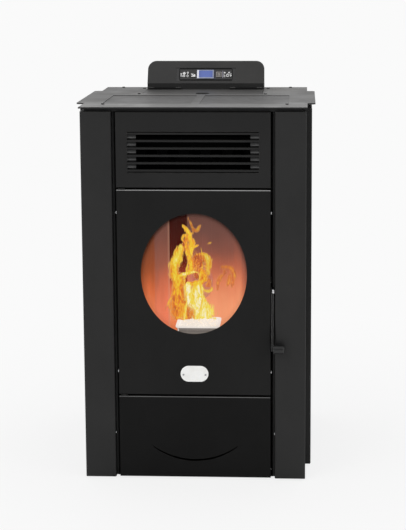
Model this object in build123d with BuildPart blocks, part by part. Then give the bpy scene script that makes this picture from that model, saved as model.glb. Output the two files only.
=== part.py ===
"""Free-standing pellet stove in folded black sheet steel.

The stove stands on the floor, which is Z = 0, with its door facing -Y and X running to the viewer's
right.  The origin lies under the middle of the whole envelope, from the latch knob to the end of the
flue stub.  Depths are counted backwards from the front faces of the posts and doors.
All sizes are millimetres.
"""

import math
import os

from build123d import *

os.makedirs("parts", exist_ok=True)

# ------------------------------------------------------------------------------------------------
# Driving sizes
# ------------------------------------------------------------------------------------------------

# Casing
case_width = 470.0          # over the two side casings
case_depth = 470.0          # front faces to the back of the rear panel
floor_gap = 3.0             # the casings end this far above the floor
sheet = 1.5                 # folded casing sheet
fold = 3.0                  # outside radius of the folds
fit = 0.3                   # running or assembly gap between neighbouring pieces
front_width = 323.0         # door, drawer front and grille panel
groove_width = 8.5          # dark groove each side of them
groove_depth = 14.0         # front face to the floor of the groove
pocket_gap = 1.5            # door edge to the side of its pocket
pocket_depth = 45.0         # how far the post folds back behind the doors
back_return = 20.0          # folded edge that carries the rear panel
top_flange = 30.0           # folded edge that carries the riser
side_panel_out = 12.0       # outer side panel stands this far off the casing
side_panel_front = 90.0     # depth at which it starts
side_panel_length = 278.0
side_panel_drop = 2.0       # its top edge below the casing top

# Top
plate = 3.0                 # top plate
riser_height = 7.0          # shadow gap under the top plate
riser_inset = 8.0
riser_width = 18.0
top_overhang = 6.0          # past the front faces
top_back_overhang = 4.0
top_side_overhang = 2.0
tab_out = 19.0              # side tabs, past the casing
tab_front = 86.0            # depth at which the tabs start
tab_length = 286.0
corner_cut = 4.0
field_inner = 9.0           # pressed fields, from the centre line
field_width = 188.0
field_front = 72.0
field_length = 187.0
field_press = 1.0
front_screw_x = 194.0       # screws of the top plate, from the front backwards
front_screw_depth = 59.0
lid_screw_gap = 8.0
lid_screw_back = 3.0
console_screw_gap = 9.5
console_screw_back = 22.0
back_screw_x = 198.0
back_screw_edge = 8.0

# Vents of the rear panel
vent_rows = 9
vent_pitch = 12.0
vent_length = 70.0
vent_width = 5.0
vent_x = 100.0
vent_upper_rise = 665.0
vent_left_rise = 330.0
vent_right_rise = 420.0

# Front openings, from the floor up
drawer_front_height = 177.5
drawer_floor_gap = 4.0
drawer_door_gap = 4.5
door_height = 440.0
door_grille_gap = 5.0
grille_panel_height = 158.7
edge_return = 12.0          # folded edge of door skin, drawer front and grille panel

# Door
window_width = 223.0
window_below = 133.0        # bottom edge of the door to the window
window_above = 49.0         # window to the top edge of the door
door_plate_thick = 8.0
door_plate_margin = 3.5     # skin edge to cast plate edge
window_step = 3.0           # the cast plate's window is wider than the skin's
rim_line_x = 135.0          # centre line of the seal
rim_line_inset_z = 10.0     # door edge to the seal's centre line
rim_width = 14.0
rim_back = 32.0             # depth of the rear face of the rim
seal_diameter = 9.0
seal_sink = 4.0
seal_corner = 9.8
glass_side_lap = 13.5       # glass past the window, at the sides
glass_end_lap = 15.0        # and above and below
glass_thick = 4.0
glass_bed = 1.0             # flat gasket between cast plate and glass
clip_length = 30.0
clip_width = 14.0
clip_thick = 1.5
clip_lap = 8.4              # over the glass
clip_inset = 44.4           # edge of the glass to the middle of a clip
badge_length = 59.0
badge_height = 34.5
badge_thick = 1.2
badge_rise = 46.5           # bottom edge of the door to the centre of the badge

# Door hinge
hinge_inset = 11.5          # edge of the door to the hinge axis
hinge_depth = 7.0
hinge_pin = 6.0
hinge_play = 0.1            # radial
hinge_leaf = 2.5
hinge_lug_width = 14.0
hinge_lug_height = 22.0
hinge_pin_reach = 18.0
hinge_collar = 0.9
hinge_tongue = 16.0         # length of the leaf screwed to the firebox

# Door latch
latch_rise = 224.5          # bottom edge of the door to the latch shaft
latch_shaft = 6.0
latch_hub = 11.0
latch_depth = 8.0           # depth of the shaft
lever_drop = 120.0          # shaft to the centre of the knob
lever_thick = 4.0
lever_width = 9.0
lever_gap = 1.4             # door edge to the lever
latch_dome = 2.4            # rounded end of the shaft, past the lever
dome_round = 2.1
latch_notch = 26.0          # half the height of the notch in the cast frame
latch_bearing_width = 7.0
latch_bearing_height = 16.0
latch_bearing_back = 14.0
knob_diameter = 19.5
knob_length = 24.0
knob_out = 13.0             # centre of the knob in front of the posts
hook_thick = 5.0
hook_inset = 5.0            # door edge to the hook
hook_play = 3.5             # hook to the frame beside it
keeper_pin = 6.0
keeper_depth = 27.0
keeper_rise = 6.0           # above the shaft
keeper_gap = 2.5            # hook to the keeper's cheek
keeper_cheek = 3.0
keeper_foot = 12.0

# Ash drawer
drawer_box_width = 280.0
drawer_box_length = 236.0
drawer_box_height = 124.0
drawer_box_front = 18.0     # depth of its front wall
drawer_box_sheet = 1.2
grip_chord = 182.0
grip_sag = 31.0
grip_slot = 5.0             # at the middle, thinning to the ends
grip_slot_end = 2.2
grip_height = 73.0          # floor to the ends of the grip

# Grille
louvre_width = 277.0
louvre_below = 30.5         # lower edge of the panel to the grille
louvre_above = 39.8
louvre_count = 6
louvre_edge = 5.15          # grille frame to the middle of the first blade
louvre_lip = 3.0
louvre_leaf = 6.0           # how far a blade runs back
louvre_leaf_rise = 0.4
louvre_sheet = 1.2
louvre_frame_depth = 9.0
louvre_end_cover = 19.0     # closed width at each end, behind the blades

# Base
tray_rise = 20.0            # floor to the top of the base tray
tray_sheet = 2.0
tray_flange = 12.0
foot_pad = 32.0
foot_pad_height = 7.0
foot_stud = 10.0
foot_stud_top = 34.0
foot_x = 195.0
foot_front = 84.0
foot_back = 50.0            # from the back of the case
foot_nut = 17.0
foot_nut_height = 8.0
runner_sheet = 1.5
runner_leaf = 18.0
runner_height = 40.0

# Firebox
firebox_width = 250.0       # inside
firebox_back = 247.0        # depth of the inside of its back wall
firebox_door_lap = 17.0     # door edge to the opening of the firebox, above and below
firebox_wall = 3.0
flange_below = 23.0         # past the lower edge of the door
flange_above = 22.0
ash_slot_front = 50.0
ash_slot_length = 38.0
ash_slot_width = 200.0
smoke_slot_front = 70.0     # into the exchanger
smoke_slot_length = 40.0
exchanger_height = 120.0    # smoke chamber on top of the firebox
exchanger_front = 52.0
tube_diameter = 30.0
tube_wall = 1.5
tube_columns = 5
tube_rows = 2
tube_pitch_x = 46.0
tube_pitch_z = 48.0
tube_overhang = 6.0
liner_thick = 6.0
liner_fold_x = 98.0
liner_fold_depth = 168.0
liner_back_x = 78.0
fireback_thick = 10.0
fireback_rib = 3.0
fireback_rib_width = 6.0
fireback_rib_pitch = 19.5
baffle_thick = 8.0
baffle_drop = 23.0          # under the roof of the firebox
baffle_front = 62.0

# Burn pot
pot_width = 96.0
pot_length = 88.0
pot_height = 70.0
pot_rim = 312.0             # floor to its rim
pot_front = 92.0            # depth
pot_wall = 4.0
pot_lip = 3.0
pot_air_hole = 6.0
pot_taper = 6.0
pot_hole_pitch = 18.0       # in its floor
pot_hole_count = 4
pot_front_pitch = 15.6      # in its front
pot_front_rows = 2
pot_front_rise = 28.0
stand_wall = 2.5
stand_inset = 8.0
igniter_diameter = 9.6
igniter_rise = 226.0
igniter_collar = 6.0

# Pellet hopper and feed
hopper_width = 290.0
hopper_front = 283.0
hopper_length = 158.0
hopper_sheet = 1.5
hopper_throat = 56.0
hopper_throat_rise = 446.0
hopper_throat_depth = 370.0
hopper_throat_reach = 30.0
hopper_box_height = 157.0   # its straight upper part
fill_width = 252.0
fill_front = 298.0
fill_length = 106.0
lid_width = 270.0
lid_front = 291.0
lid_length = 119.0
lid_gap = 1.0
lid_finger_length = 28.0
lid_finger_width = 13.0
lid_finger_depth = 303.0
lid_barrel = 5.0
lid_pin = 2.6
lid_axis_up = 3.0           # hinge axis above the top plate
lid_knuckle = 50.0
lid_hinge_x = 95.0
lid_end_knuckle = 12.0
knuckle_gap = 0.5
knuckle_foot = 5.5
grid_bar = 4.0
grid_pitch = 20.0
grid_drop = 36.0
auger_tube_diameter = 60.0
auger_tube_wall = 2.5
auger_length = 150.0
auger_low_depth = 400.0
auger_low_rise = 372.0
auger_diameter = 50.0
auger_core = 16.0
auger_pitch = 36.0
auger_flight = 2.4
chute_diameter = 52.0
chute_along = 122.0         # low end of the feed tube to the chute
gearbox_size = 68.0
gearbox_length = 30.0
motor_diameter = 46.0
motor_length = 36.0
shaft_socket = 18.0

# Smoke fan, flue and air
flue_diameter = 80.0
flue_wall = 1.5
flue_out = 50.0             # past the rear panel
flue_x = 118.0
flue_rise = 176.0
scroll_diameter = 156.0
scroll_width = 88.0
scroll_wall = 2.5
scroll_depth = 336.0        # depth of the fan axis
scroll_rise = 139.0
fan_diameter = 128.0
fan_width = 30.0
fan_blades = 8
drive_shaft = 8.0           # of both fans and the auger
wheel_hub = 30.0
wheel_blade = 2.0           # thickness
wheel_blade_angle = 20.0
smoke_box_width = 34.0      # suction box between firebox and fan
smoke_box_low = 150.0
smoke_box_high = 262.0
flue_collar = 16.0          # holds the stub, past the fan housing
fan_motor_diameter = 80.0
fan_motor_length = 46.0
pipe_bead = 2.0             # stop ring of both pipes, on the rear panel
intake_diameter = 40.0
intake_wall = 1.5
intake_out = 30.0
intake_rise = 176.0
blower_diameter = 124.0
blower_width = 92.0
blower_wall = 1.5
blower_inset = 2.0          # side of the firebox to the room fan
blower_rise = 96.0
blower_depth = 336.0
cage_diameter = 96.0
cage_blades = 12
cage_width = 74.0
cage_inner = 70.0
room_motor_diameter = 62.0
room_motor_length = 34.0
drawer_neck_gap = 14.0      # top of the ash drawer to the neck of the room fan
riser_duct_depth = 24.0
riser_duct_gap = 2.0

# Control panel
console_half = 136.5
console_band = 14.0
console_slope_rise = 50.0
console_slope_run = 27.0
console_front = 416.0
console_top_run = 9.0
console_foot = 462.0
console_corner = 19.0
console_sheet = 2.0
console_floor_rim = 6.0     # rim left round its open underside
bezel_width = 140.0
bezel_height = 33.0
bezel_up = 22.8             # band to the bezel's centre, up the slope
bezel_thick = 3.0
bezel_sunk = 1.2
bezel_flange = 4.0
screen_width = 42.0
screen_height = 24.0
key_size = 14.0
key_inner_x = 31.0
key_outer_x = 54.0
key_play = 0.3
key_travel = 1.2
key_proud = 0.8             # above the bezel
key_flange = 1.2
board_thick = 1.6
board_clearance = 1.5       # under a key at the end of its travel
board_post = 5.0
key_corner = 2.0
screen_sunk = 0.5

# Electrics
inlet_width = 27.0
inlet_height = 47.0
inlet_length = 24.0
inlet_x = -178.0
inlet_rise = 78.0
switch_width = 13.0
switch_height = 20.0
switch_rise = 132.0
switch_frame_width = 19.0
switch_frame_height = 26.0
switch_swing = 9.0
socket_width = 22.0
socket_height = 34.0
socket_reach = 16.0
pin_spacing = 9.0
pin_thick = 2.0
pin_reach = 9.0
switch_play = 2.0           # over the rocker's height
rocker_sunk = 4.5           # its pivot, inside the rear face
rocker_front = 4.6
rocker_dish = 1.6
rocker_gap = 0.6

# Fasteners
screw_head = 7.0
screw_head_height = 2.0
screw_head_round = 1.4
groove_screw = 5.0
groove_screw_head = 1.2
post_screw_rise = 100.0
door_screw_rises = (50.0, 392.0)

# ------------------------------------------------------------------------------------------------
# Places worked out from them
# ------------------------------------------------------------------------------------------------

knob_front = knob_out + knob_diameter / 2
total_depth = knob_front + case_depth + flue_out
front_y = knob_front - total_depth / 2
case_half = case_width / 2
front_half = front_width / 2
post_inner = front_half + groove_width
pocket_half = front_half + pocket_gap

drawer_front_low = drawer_floor_gap
drawer_front_high = drawer_front_low + drawer_front_height
door_low = drawer_front_high + drawer_door_gap
door_high = door_low + door_height
grille_low = door_high + door_grille_gap
grille_high = grille_low + grille_panel_height
casing_top = grille_high + fit
stove_height = casing_top + riser_height + plate

window_height = door_height - window_below - window_above
window_z = door_low + window_below + window_height / 2
glass_width = window_width + 2 * glass_side_lap
glass_height = window_height + 2 * glass_end_lap
badge_z = door_low + badge_rise
latch_z = door_low + latch_rise
knob_z = latch_z - lever_drop
glass_front = sheet + door_plate_thick + glass_bed
glass_back = glass_front + glass_thick
plate_back = sheet + door_plate_thick
rim_low = door_low + rim_line_inset_z
rim_high = door_high - rim_line_inset_z
seal_back = rim_back - seal_sink + seal_diameter
flange_front = seal_back + fit
flange_back = flange_front + firebox_wall
hinge_x = -(front_half - hinge_inset)
lever_x = front_half + lever_gap
plate_top = stove_height
drawer_rise = tray_rise + runner_sheet + fit
drawer_box_back = drawer_box_front + drawer_box_length
plate_under = stove_height - plate
firebox_low = door_low + firebox_door_lap
firebox_high = door_high - firebox_door_lap
firebox_outer = firebox_width / 2 + firebox_wall
flange_low = door_low - flange_below
flange_high = door_high + flange_above
baffle_height = firebox_high - baffle_drop
blower_x = -(firebox_outer - blower_inset - blower_width / 2)
louvre_low = grille_low + louvre_below
louvre_high = grille_high - louvre_above
louvre_middle = (louvre_low + louvre_high) / 2
louvre_height = louvre_high - louvre_low


def depth(d):
    """Y of a depth behind the front faces."""
    return front_y + d


def upright(d):
    """Upright plane at a depth, seen from the front; a negative extrusion goes backwards."""
    return Plane.XZ.offset(-depth(d))


def save(piece, label):
    """Names a finished piece and writes it."""
    piece.part.label = label
    export_step(piece.part, f"parts/{label}.step")


# ------------------------------------------------------------------------------------------------
# Casing: base tray, folded sides, outer panels, rear panel, riser and top plate
# ------------------------------------------------------------------------------------------------

tray_half = case_half - sheet - fit
tray_front = pocket_depth + fit
tray_back = case_depth - 2 * sheet - fit
rear_skin = case_depth - sheet
foot_places = [
    (side * foot_x, depth(foot_depth))
    for side in (-1, 1)
    for foot_depth in (foot_front, case_depth - foot_back)
]

with BuildPart() as base_tray:
    with BuildSketch(Plane.XY.offset(tray_rise)):
        with Locations((0, depth((tray_front + tray_back) / 2))):
            Rectangle(2 * tray_half, tray_back - tray_front)
    extrude(amount=-tray_flange)
    offset(amount=-tray_sheet, openings=base_tray.faces().sort_by(Axis.Z)[0])
    with Locations(*[(x, y, tray_rise) for x, y in foot_places]):
        Hole(foot_stud / 2 + fit, depth=tray_flange)
    for side in (-1, 1):
        with BuildSketch(upright(tray_front)):
            with BuildLine():
                runner_mid = runner_sheet / 2
                web_x = side * (drawer_box_width / 2 + fit + runner_mid)
                FilletPolyline(
                    (web_x - side * runner_leaf, tray_rise + runner_mid),
                    (web_x, tray_rise + runner_mid),
                    (web_x, tray_rise + runner_height),
                    radius=runner_mid + fit,
                )
                offset(amount=runner_mid)
            make_face()
        extrude(amount=-(drawer_box_back - tray_front))
save(base_tray, "base_tray")

with BuildPart() as levelling_feet:
    with BuildSketch():
        with Locations(*foot_places):
            Circle(foot_pad / 2)
    extrude(amount=foot_pad_height)
    fillet(levelling_feet.edges().group_by(Axis.Z)[-1], radius=sheet)
    with BuildSketch(Plane.XY.offset(foot_pad_height)):
        with Locations(*foot_places):
            Circle(foot_stud / 2)
    extrude(amount=foot_stud_top - foot_pad_height)
    for nut_base in (tray_rise - tray_sheet - foot_nut_height, tray_rise):
        with BuildSketch(Plane.XY.offset(nut_base)):
            with Locations(*foot_places):
                RegularPolygon(foot_nut / 2, 6, major_radius=False)
        extrude(amount=foot_nut_height)
save(levelling_feet, "levelling_feet")


def casing_side(side, label):
    """One folded side: pocket wall, groove floor, post, side wall and back return, with its top edge."""
    mid = sheet / 2
    with BuildPart() as casing:
        with BuildSketch(Plane.XY.offset(floor_gap)):
            with BuildLine():
                FilletPolyline(
                    (pocket_half + mid, depth(pocket_depth)),
                    (pocket_half + mid, depth(groove_depth + mid)),
                    (post_inner + mid, depth(groove_depth + mid)),
                    (post_inner + mid, depth(mid)),
                    (case_half - mid, depth(mid)),
                    (case_half - mid, depth(rear_skin - mid)),
                    (case_half - back_return, depth(rear_skin - mid)),
                    radius=fold - mid,
                )
                offset(amount=mid)
            make_face()
        extrude(amount=casing_top - floor_gap)
        with BuildSketch(Plane.XY.offset(casing_top - sheet)):
            with BuildLine():
                Polyline(
                    (pocket_half, depth(groove_depth)),
                    (post_inner, depth(groove_depth)),
                    (post_inner, depth(mid)),
                    (case_half - mid, depth(mid)),
                    (case_half - mid, depth(rear_skin - mid)),
                    (case_half - top_flange, depth(rear_skin - mid)),
                    (case_half - top_flange, depth(pocket_depth)),
                    (pocket_half, depth(pocket_depth)),
                    close=True,
                )
            make_face()
        extrude(amount=sheet)
        if side < 0:
            mirror(about=Plane.YZ, mode=Mode.REPLACE)
    save(casing, label)


casing_side(1, "right_side_casing")
casing_side(-1, "left_side_casing")


def outer_side_panel(side, label):
    """Shallow tray with folded edges, standing off the side wall."""
    panel_low = floor_gap + side_panel_drop
    panel_high = casing_top - side_panel_drop
    with BuildPart() as panel:
        with BuildSketch(Plane.YZ.offset(case_half)):
            with Locations((depth(side_panel_front + side_panel_length / 2), (panel_low + panel_high) / 2)):
                Rectangle(side_panel_length, panel_high - panel_low)
        extrude(amount=side_panel_out)
        fillet(panel.faces().sort_by(Axis.X)[-1].edges(), radius=fold - sheet / 2)
        offset(amount=-sheet, openings=panel.faces().sort_by(Axis.X)[0])
        if side < 0:
            mirror(about=Plane.YZ, mode=Mode.REPLACE)
    save(panel, label)


outer_side_panel(1, "right_side_panel")
outer_side_panel(-1, "left_side_panel")

rear_low = floor_gap + side_panel_drop
vent_places = (
    (-vent_x, vent_upper_rise),
    (vent_x, vent_upper_rise),
    (-vent_x, vent_left_rise),
    (vent_x, vent_right_rise),
)

with BuildPart() as rear_panel:
    with BuildSketch(upright(case_depth)):
        with Locations((0, (rear_low + casing_top) / 2)):
            RectangleRounded(2 * (case_half - fold), casing_top - rear_low - sheet, radius=fold)
        with Locations(*vent_places):
            with GridLocations(vent_length, vent_pitch, 1, vent_rows):
                SlotOverall(vent_length, vent_width, mode=Mode.SUBTRACT)
        with Locations((flue_x, flue_rise)):
            Circle(flue_diameter / 2 + fit, mode=Mode.SUBTRACT)
        with Locations((0, intake_rise)):
            Circle(intake_diameter / 2 + fit, mode=Mode.SUBTRACT)
        with Locations((inlet_x, inlet_rise)):
            Rectangle(inlet_width + 2 * fit, inlet_height + 2 * fit, mode=Mode.SUBTRACT)
        with Locations((inlet_x, switch_rise)):
            Rectangle(switch_frame_width + 2 * fit, switch_frame_height + 2 * fit, mode=Mode.SUBTRACT)
    extrude(amount=sheet)
save(rear_panel, "rear_panel")

with BuildPart() as top_riser:
    with BuildSketch(Plane.XY.offset(casing_top)):
        with Locations((0, depth(case_depth / 2))):
            Rectangle(2 * (case_half - riser_inset), case_depth - 2 * riser_inset)
            Rectangle(
                2 * (case_half - riser_inset - riser_width),
                case_depth - 2 * (riser_inset + riser_width),
                mode=Mode.SUBTRACT,
            )
    extrude(amount=riser_height)
save(top_riser, "top_riser")

lid_back = lid_front + lid_length
lid_axis_y = depth(lid_back)
lid_axis_z = plate_top + lid_axis_up
top_screws = [
    (side * x, depth(d))
    for side in (-1, 1)
    for x, d in (
        (front_screw_x, front_screw_depth),
        (lid_width / 2 + lid_screw_gap, lid_front + lid_screw_back),
        (console_half + console_screw_gap, console_front + console_screw_back),
        (back_screw_x, case_depth - back_screw_edge),
    )
]

field_places = [
    (side * (field_inner + field_width / 2), depth(field_front + field_length / 2)) for side in (-1, 1)
]

with BuildPart() as top_plate:
    with BuildSketch(Plane.XY.offset(plate_under)) as top_outline:
        with Locations((0, depth((case_depth + top_back_overhang - top_overhang) / 2))):
            Rectangle(2 * (case_half + top_side_overhang), case_depth + top_back_overhang + top_overhang)
        with Locations((0, depth(tab_front + tab_length / 2))):
            Rectangle(2 * (case_half + tab_out), tab_length)
        outer_corners = top_outline.vertices().group_by(Axis.X)
        chamfer(outer_corners[0] + outer_corners[-1], length=corner_cut)
    extrude(amount=plate)
    with BuildSketch(Plane.XY.offset(plate_top)):
        with Locations(*field_places):
            RectangleRounded(field_width, field_length, radius=fold)
    extrude(amount=-field_press, mode=Mode.SUBTRACT)
    with BuildSketch(Plane.XY.offset(plate_top)):
        with Locations((0, depth(lid_front + lid_length / 2))):
            Rectangle(lid_width + 2 * lid_gap, lid_length + 2 * lid_gap)
    extrude(amount=-plate, mode=Mode.SUBTRACT)
save(top_plate, "top_plate")

# ------------------------------------------------------------------------------------------------
# Hopper lid and its hinge
# ------------------------------------------------------------------------------------------------


def knuckles(places, length, foot_side):
    """Hinge barrels along X with a foot down to the plate, in front of (-1) or behind (+1) the axis."""
    with BuildPart() as barrels:
        for x in places:
            with BuildSketch(Plane.YZ.offset(x - length / 2)):
                with Locations((lid_axis_y, lid_axis_z)):
                    Circle(lid_barrel / 2)
                with Locations((lid_axis_y + foot_side * knuckle_foot / 2, plate_top + lid_axis_up / 2)):
                    Rectangle(knuckle_foot, lid_axis_up)
                with Locations((lid_axis_y, lid_axis_z)):
                    Circle(lid_pin / 2 + hinge_play / 2, mode=Mode.SUBTRACT)
            extrude(amount=length)
    return barrels.part


lid_barrels = knuckles((-lid_hinge_x, lid_hinge_x), lid_knuckle, -1)
with BuildPart() as hopper_lid:
    with BuildSketch(Plane.XY.offset(plate_top)):
        with Locations((0, depth(lid_front + lid_length / 2))):
            Rectangle(lid_width, lid_length)
        with Locations((0, depth(lid_finger_depth))):
            SlotOverall(lid_finger_length, lid_finger_width, mode=Mode.SUBTRACT)
    extrude(amount=-plate)
    add(lid_barrels)
save(hopper_lid, "hopper_lid")

end_knuckle_step = (lid_knuckle + lid_end_knuckle) / 2 + knuckle_gap
end_places = [
    side * lid_hinge_x + step for side in (-1, 1) for step in (-end_knuckle_step, end_knuckle_step)
]
end_barrels = knuckles(end_places, lid_end_knuckle, 1)
pin_length = lid_knuckle + 2 * lid_end_knuckle + 2 * knuckle_gap
with BuildPart() as lid_hinge:
    add(end_barrels)
    for x in (-lid_hinge_x, lid_hinge_x):
        with BuildSketch(Plane.YZ.offset(x - pin_length / 2)):
            with Locations((lid_axis_y, lid_axis_z)):
                Circle(lid_pin / 2)
        extrude(amount=pin_length)
save(lid_hinge, "lid_hinge")

# ------------------------------------------------------------------------------------------------
# Grille panel and louvres
# ------------------------------------------------------------------------------------------------


def front_tray(low, high):
    """Face with four folded edges, its face at depth zero."""
    with BuildPart() as tray:
        with BuildSketch(upright(0)):
            with Locations((0, (low + high) / 2)):
                Rectangle(front_width, high - low)
        extrude(amount=-edge_return)
        fillet(tray.faces().sort_by(Axis.Y)[0].edges(), radius=fold - sheet / 2)
        offset(amount=-sheet, openings=tray.faces().sort_by(Axis.Y)[-1])
    return tray.part


grille_tray = front_tray(grille_low, grille_high)
with BuildPart() as grille_panel:
    add(grille_tray)
    with BuildSketch(upright(0)):
        with Locations((0, louvre_middle)):
            Rectangle(louvre_width, louvre_height)
    extrude(amount=-sheet, mode=Mode.SUBTRACT)
save(grille_panel, "grille_panel")

louvre_inner_width = louvre_width - 2 * fit
louvre_inner_height = louvre_height - 2 * fit
louvre_pitch = (louvre_inner_height - 2 * louvre_edge) / (louvre_count - 1)
louvre_first = louvre_middle - louvre_pitch * (louvre_count - 1) / 2

with BuildPart() as louvre_grille:
    with BuildSketch(upright(0)):
        with Locations((0, louvre_middle)):
            Rectangle(louvre_inner_width, louvre_inner_height)
            Rectangle(
                louvre_inner_width - 2 * louvre_sheet,
                louvre_inner_height - 2 * louvre_sheet,
                mode=Mode.SUBTRACT,
            )
    extrude(amount=-louvre_frame_depth)
    with BuildSketch(upright(louvre_frame_depth)):
        with Locations((0, louvre_middle)):
            Rectangle(louvre_inner_width, louvre_inner_height)
            Rectangle(
                louvre_inner_width - 2 * louvre_end_cover,
                louvre_inner_height - 2 * louvre_lip,
                mode=Mode.SUBTRACT,
            )
    extrude(amount=louvre_sheet)
    for count in range(louvre_count):
        blade_z = louvre_first + count * louvre_pitch
        with BuildSketch(Plane.YZ.offset(-louvre_inner_width / 2)):
            with BuildLine():
                FilletPolyline(
                    (depth(louvre_sheet / 2), blade_z - louvre_lip / 2),
                    (depth(louvre_sheet / 2), blade_z + louvre_lip / 2),
                    (depth(louvre_leaf), blade_z + louvre_lip / 2 + louvre_leaf_rise),
                    radius=louvre_sheet,
                )
                offset(amount=louvre_sheet / 2)
            make_face()
        extrude(amount=louvre_inner_width)
save(louvre_grille, "louvre_grille")

# ------------------------------------------------------------------------------------------------
# Fire door: skin, cast plate, glass, gasket, rope seal, clips and badge
# ------------------------------------------------------------------------------------------------

door_tray = front_tray(door_low, door_high)
with BuildPart() as door_skin:
    add(door_tray)
    with BuildSketch(upright(0)):
        with Locations((0, window_z)):
            Ellipse(window_width / 2, window_height / 2)
    extrude(amount=-sheet, mode=Mode.SUBTRACT)
    with Locations((hinge_x, depth(hinge_depth), (door_low + door_high) / 2)):
        Cylinder(hinge_pin / 2 + 4 * hinge_play, door_height, mode=Mode.SUBTRACT)
    with BuildSketch(Plane.YZ.offset(front_half)):
        with Locations((depth(latch_depth), latch_z)):
            Circle(latch_shaft / 2 + hinge_play)
    extrude(amount=-2 * sheet, mode=Mode.SUBTRACT)
save(door_skin, "door_skin")

hinge_lug_low = door_low + sheet
hinge_lug_high = door_high - sheet
latch_notch_side = hook_inset + hook_thick + hook_play

with BuildPart() as door_frame:
    with BuildSketch(upright(sheet)):
        with Locations((0, (door_low + door_high) / 2)):
            RectangleRounded(
                front_width - 2 * door_plate_margin, door_height - 2 * door_plate_margin, radius=fold
            )
        with Locations((0, window_z)):
            Ellipse(window_width / 2 + window_step, window_height / 2 + window_step, mode=Mode.SUBTRACT)
        with Locations((front_half, latch_z)):
            Rectangle(2 * latch_notch_side, 2 * latch_notch, mode=Mode.SUBTRACT)
    extrude(amount=-door_plate_thick)
    with BuildSketch(upright(plate_back)):
        with Locations((0, (rim_low + rim_high) / 2)):
            RectangleRounded(
                2 * rim_line_x + rim_width, rim_high - rim_low + rim_width, radius=rim_width
            )
            RectangleRounded(
                2 * rim_line_x - rim_width, rim_high - rim_low - rim_width, radius=fold, mode=Mode.SUBTRACT
            )
    extrude(amount=-(rim_back - plate_back))
    with BuildSketch(upright(rim_back)):
        seal_groove = seal_diameter + 2 * fit
        with Locations((0, (rim_low + rim_high) / 2)):
            RectangleRounded(
                2 * rim_line_x + seal_groove, rim_high - rim_low + seal_groove, radius=rim_width
            )
            RectangleRounded(
                2 * rim_line_x - seal_groove,
                rim_high - rim_low - seal_groove,
                radius=fold,
                mode=Mode.SUBTRACT,
            )
    extrude(amount=seal_sink, mode=Mode.SUBTRACT)
    for lug_start, lug_end in (
        (hinge_lug_low, hinge_lug_low + hinge_lug_height),
        (hinge_lug_high - hinge_lug_height, hinge_lug_high),
    ):
        with BuildSketch(Plane.XY.offset(lug_start)):
            with Locations((hinge_x, depth((sheet + 2 * hinge_depth) / 2))):
                RectangleRounded(hinge_lug_width, 2 * hinge_depth - sheet, radius=sheet)
        extrude(amount=lug_end - lug_start)
        with BuildSketch(Plane.XY.offset(lug_start)):
            with Locations((hinge_x, depth(hinge_depth))):
                Circle(hinge_pin / 2 + hinge_play)
        extrude(amount=lug_end - lug_start, mode=Mode.SUBTRACT)
    bearing_right = front_half - latch_notch_side
    with BuildSketch(Plane.YZ.offset(bearing_right - latch_bearing_width)):
        with Locations((depth((sheet + latch_bearing_back) / 2), latch_z)):
            RectangleRounded(latch_bearing_back - sheet, latch_bearing_height, radius=sheet)
    extrude(amount=latch_bearing_width)
    with BuildSketch(Plane.YZ.offset(bearing_right - latch_bearing_width)):
        with Locations((depth(latch_depth), latch_z)):
            Circle(latch_shaft / 2 + hinge_play)
    extrude(amount=latch_bearing_width, mode=Mode.SUBTRACT)
save(door_frame, "door_frame")

with BuildPart() as door_glass:
    with BuildSketch(upright(glass_front)):
        with Locations((0, window_z)):
            RectangleRounded(glass_width, glass_height, radius=fold)
    extrude(amount=-glass_thick)
save(door_glass, "door_glass")

seal_centre = seal_back - seal_diameter / 2
with BuildSketch(upright(seal_centre)) as seal_loop:
    with Locations((0, (rim_low + rim_high) / 2)):
        RectangleRounded(2 * rim_line_x, rim_high - rim_low, radius=seal_corner)
seal_path = seal_loop.sketch.faces()[0].outer_wire()

with BuildPart() as door_seals:
    with BuildSketch(Plane(origin=seal_path @ 0, z_dir=seal_path % 0)):
        Circle(seal_diameter / 2)
    sweep(path=seal_path)
    with BuildSketch(upright(plate_back)):
        with Locations((0, window_z)):
            RectangleRounded(glass_width, glass_height, radius=fold)
            Ellipse(
                window_width / 2 + 2 * window_step, window_height / 2 + 2 * window_step, mode=Mode.SUBTRACT
            )
    extrude(amount=-glass_bed)
save(door_seals, "door_seals")

clip_places = [
    (side * (glass_width / 2 - clip_inset), window_z + up * glass_height / 2, up)
    for side in (-1, 1)
    for up in (-1, 1)
]
with BuildPart() as glass_clips:
    for x, z, up in clip_places:
        with BuildSketch(Plane.YZ.offset(x - clip_length / 2)):
            with BuildLine():
                clip_mid = clip_thick / 2
                Polyline(
                    (depth(glass_back + clip_mid), z - up * clip_lap),
                    (depth(glass_back + clip_mid), z + up * (clip_mid + fit)),
                    (depth(plate_back + clip_mid), z + up * (clip_mid + fit)),
                    (depth(plate_back + clip_mid), z + up * clip_width),
                )
                offset(amount=clip_mid, kind=Kind.INTERSECTION)
            make_face()
        extrude(amount=clip_length)
        with BuildSketch(upright(plate_back + clip_thick)):
            with Locations((x, z + up * clip_lap)):
                Circle(screw_head / 2)
        extrude(amount=-screw_head_height)
save(glass_clips, "glass_clips")

with BuildPart() as badge_plate:
    with BuildSketch(upright(0)):
        with Locations((0, badge_z)):
            SlotOverall(badge_length, badge_height)
    extrude(amount=badge_thick)
    fillet(badge_plate.edges().group_by(Axis.Y)[0], radius=badge_thick / 3)
save(badge_plate, "badge_plate")

# ------------------------------------------------------------------------------------------------
# Door hinges, latch and keeper
# ------------------------------------------------------------------------------------------------

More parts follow.
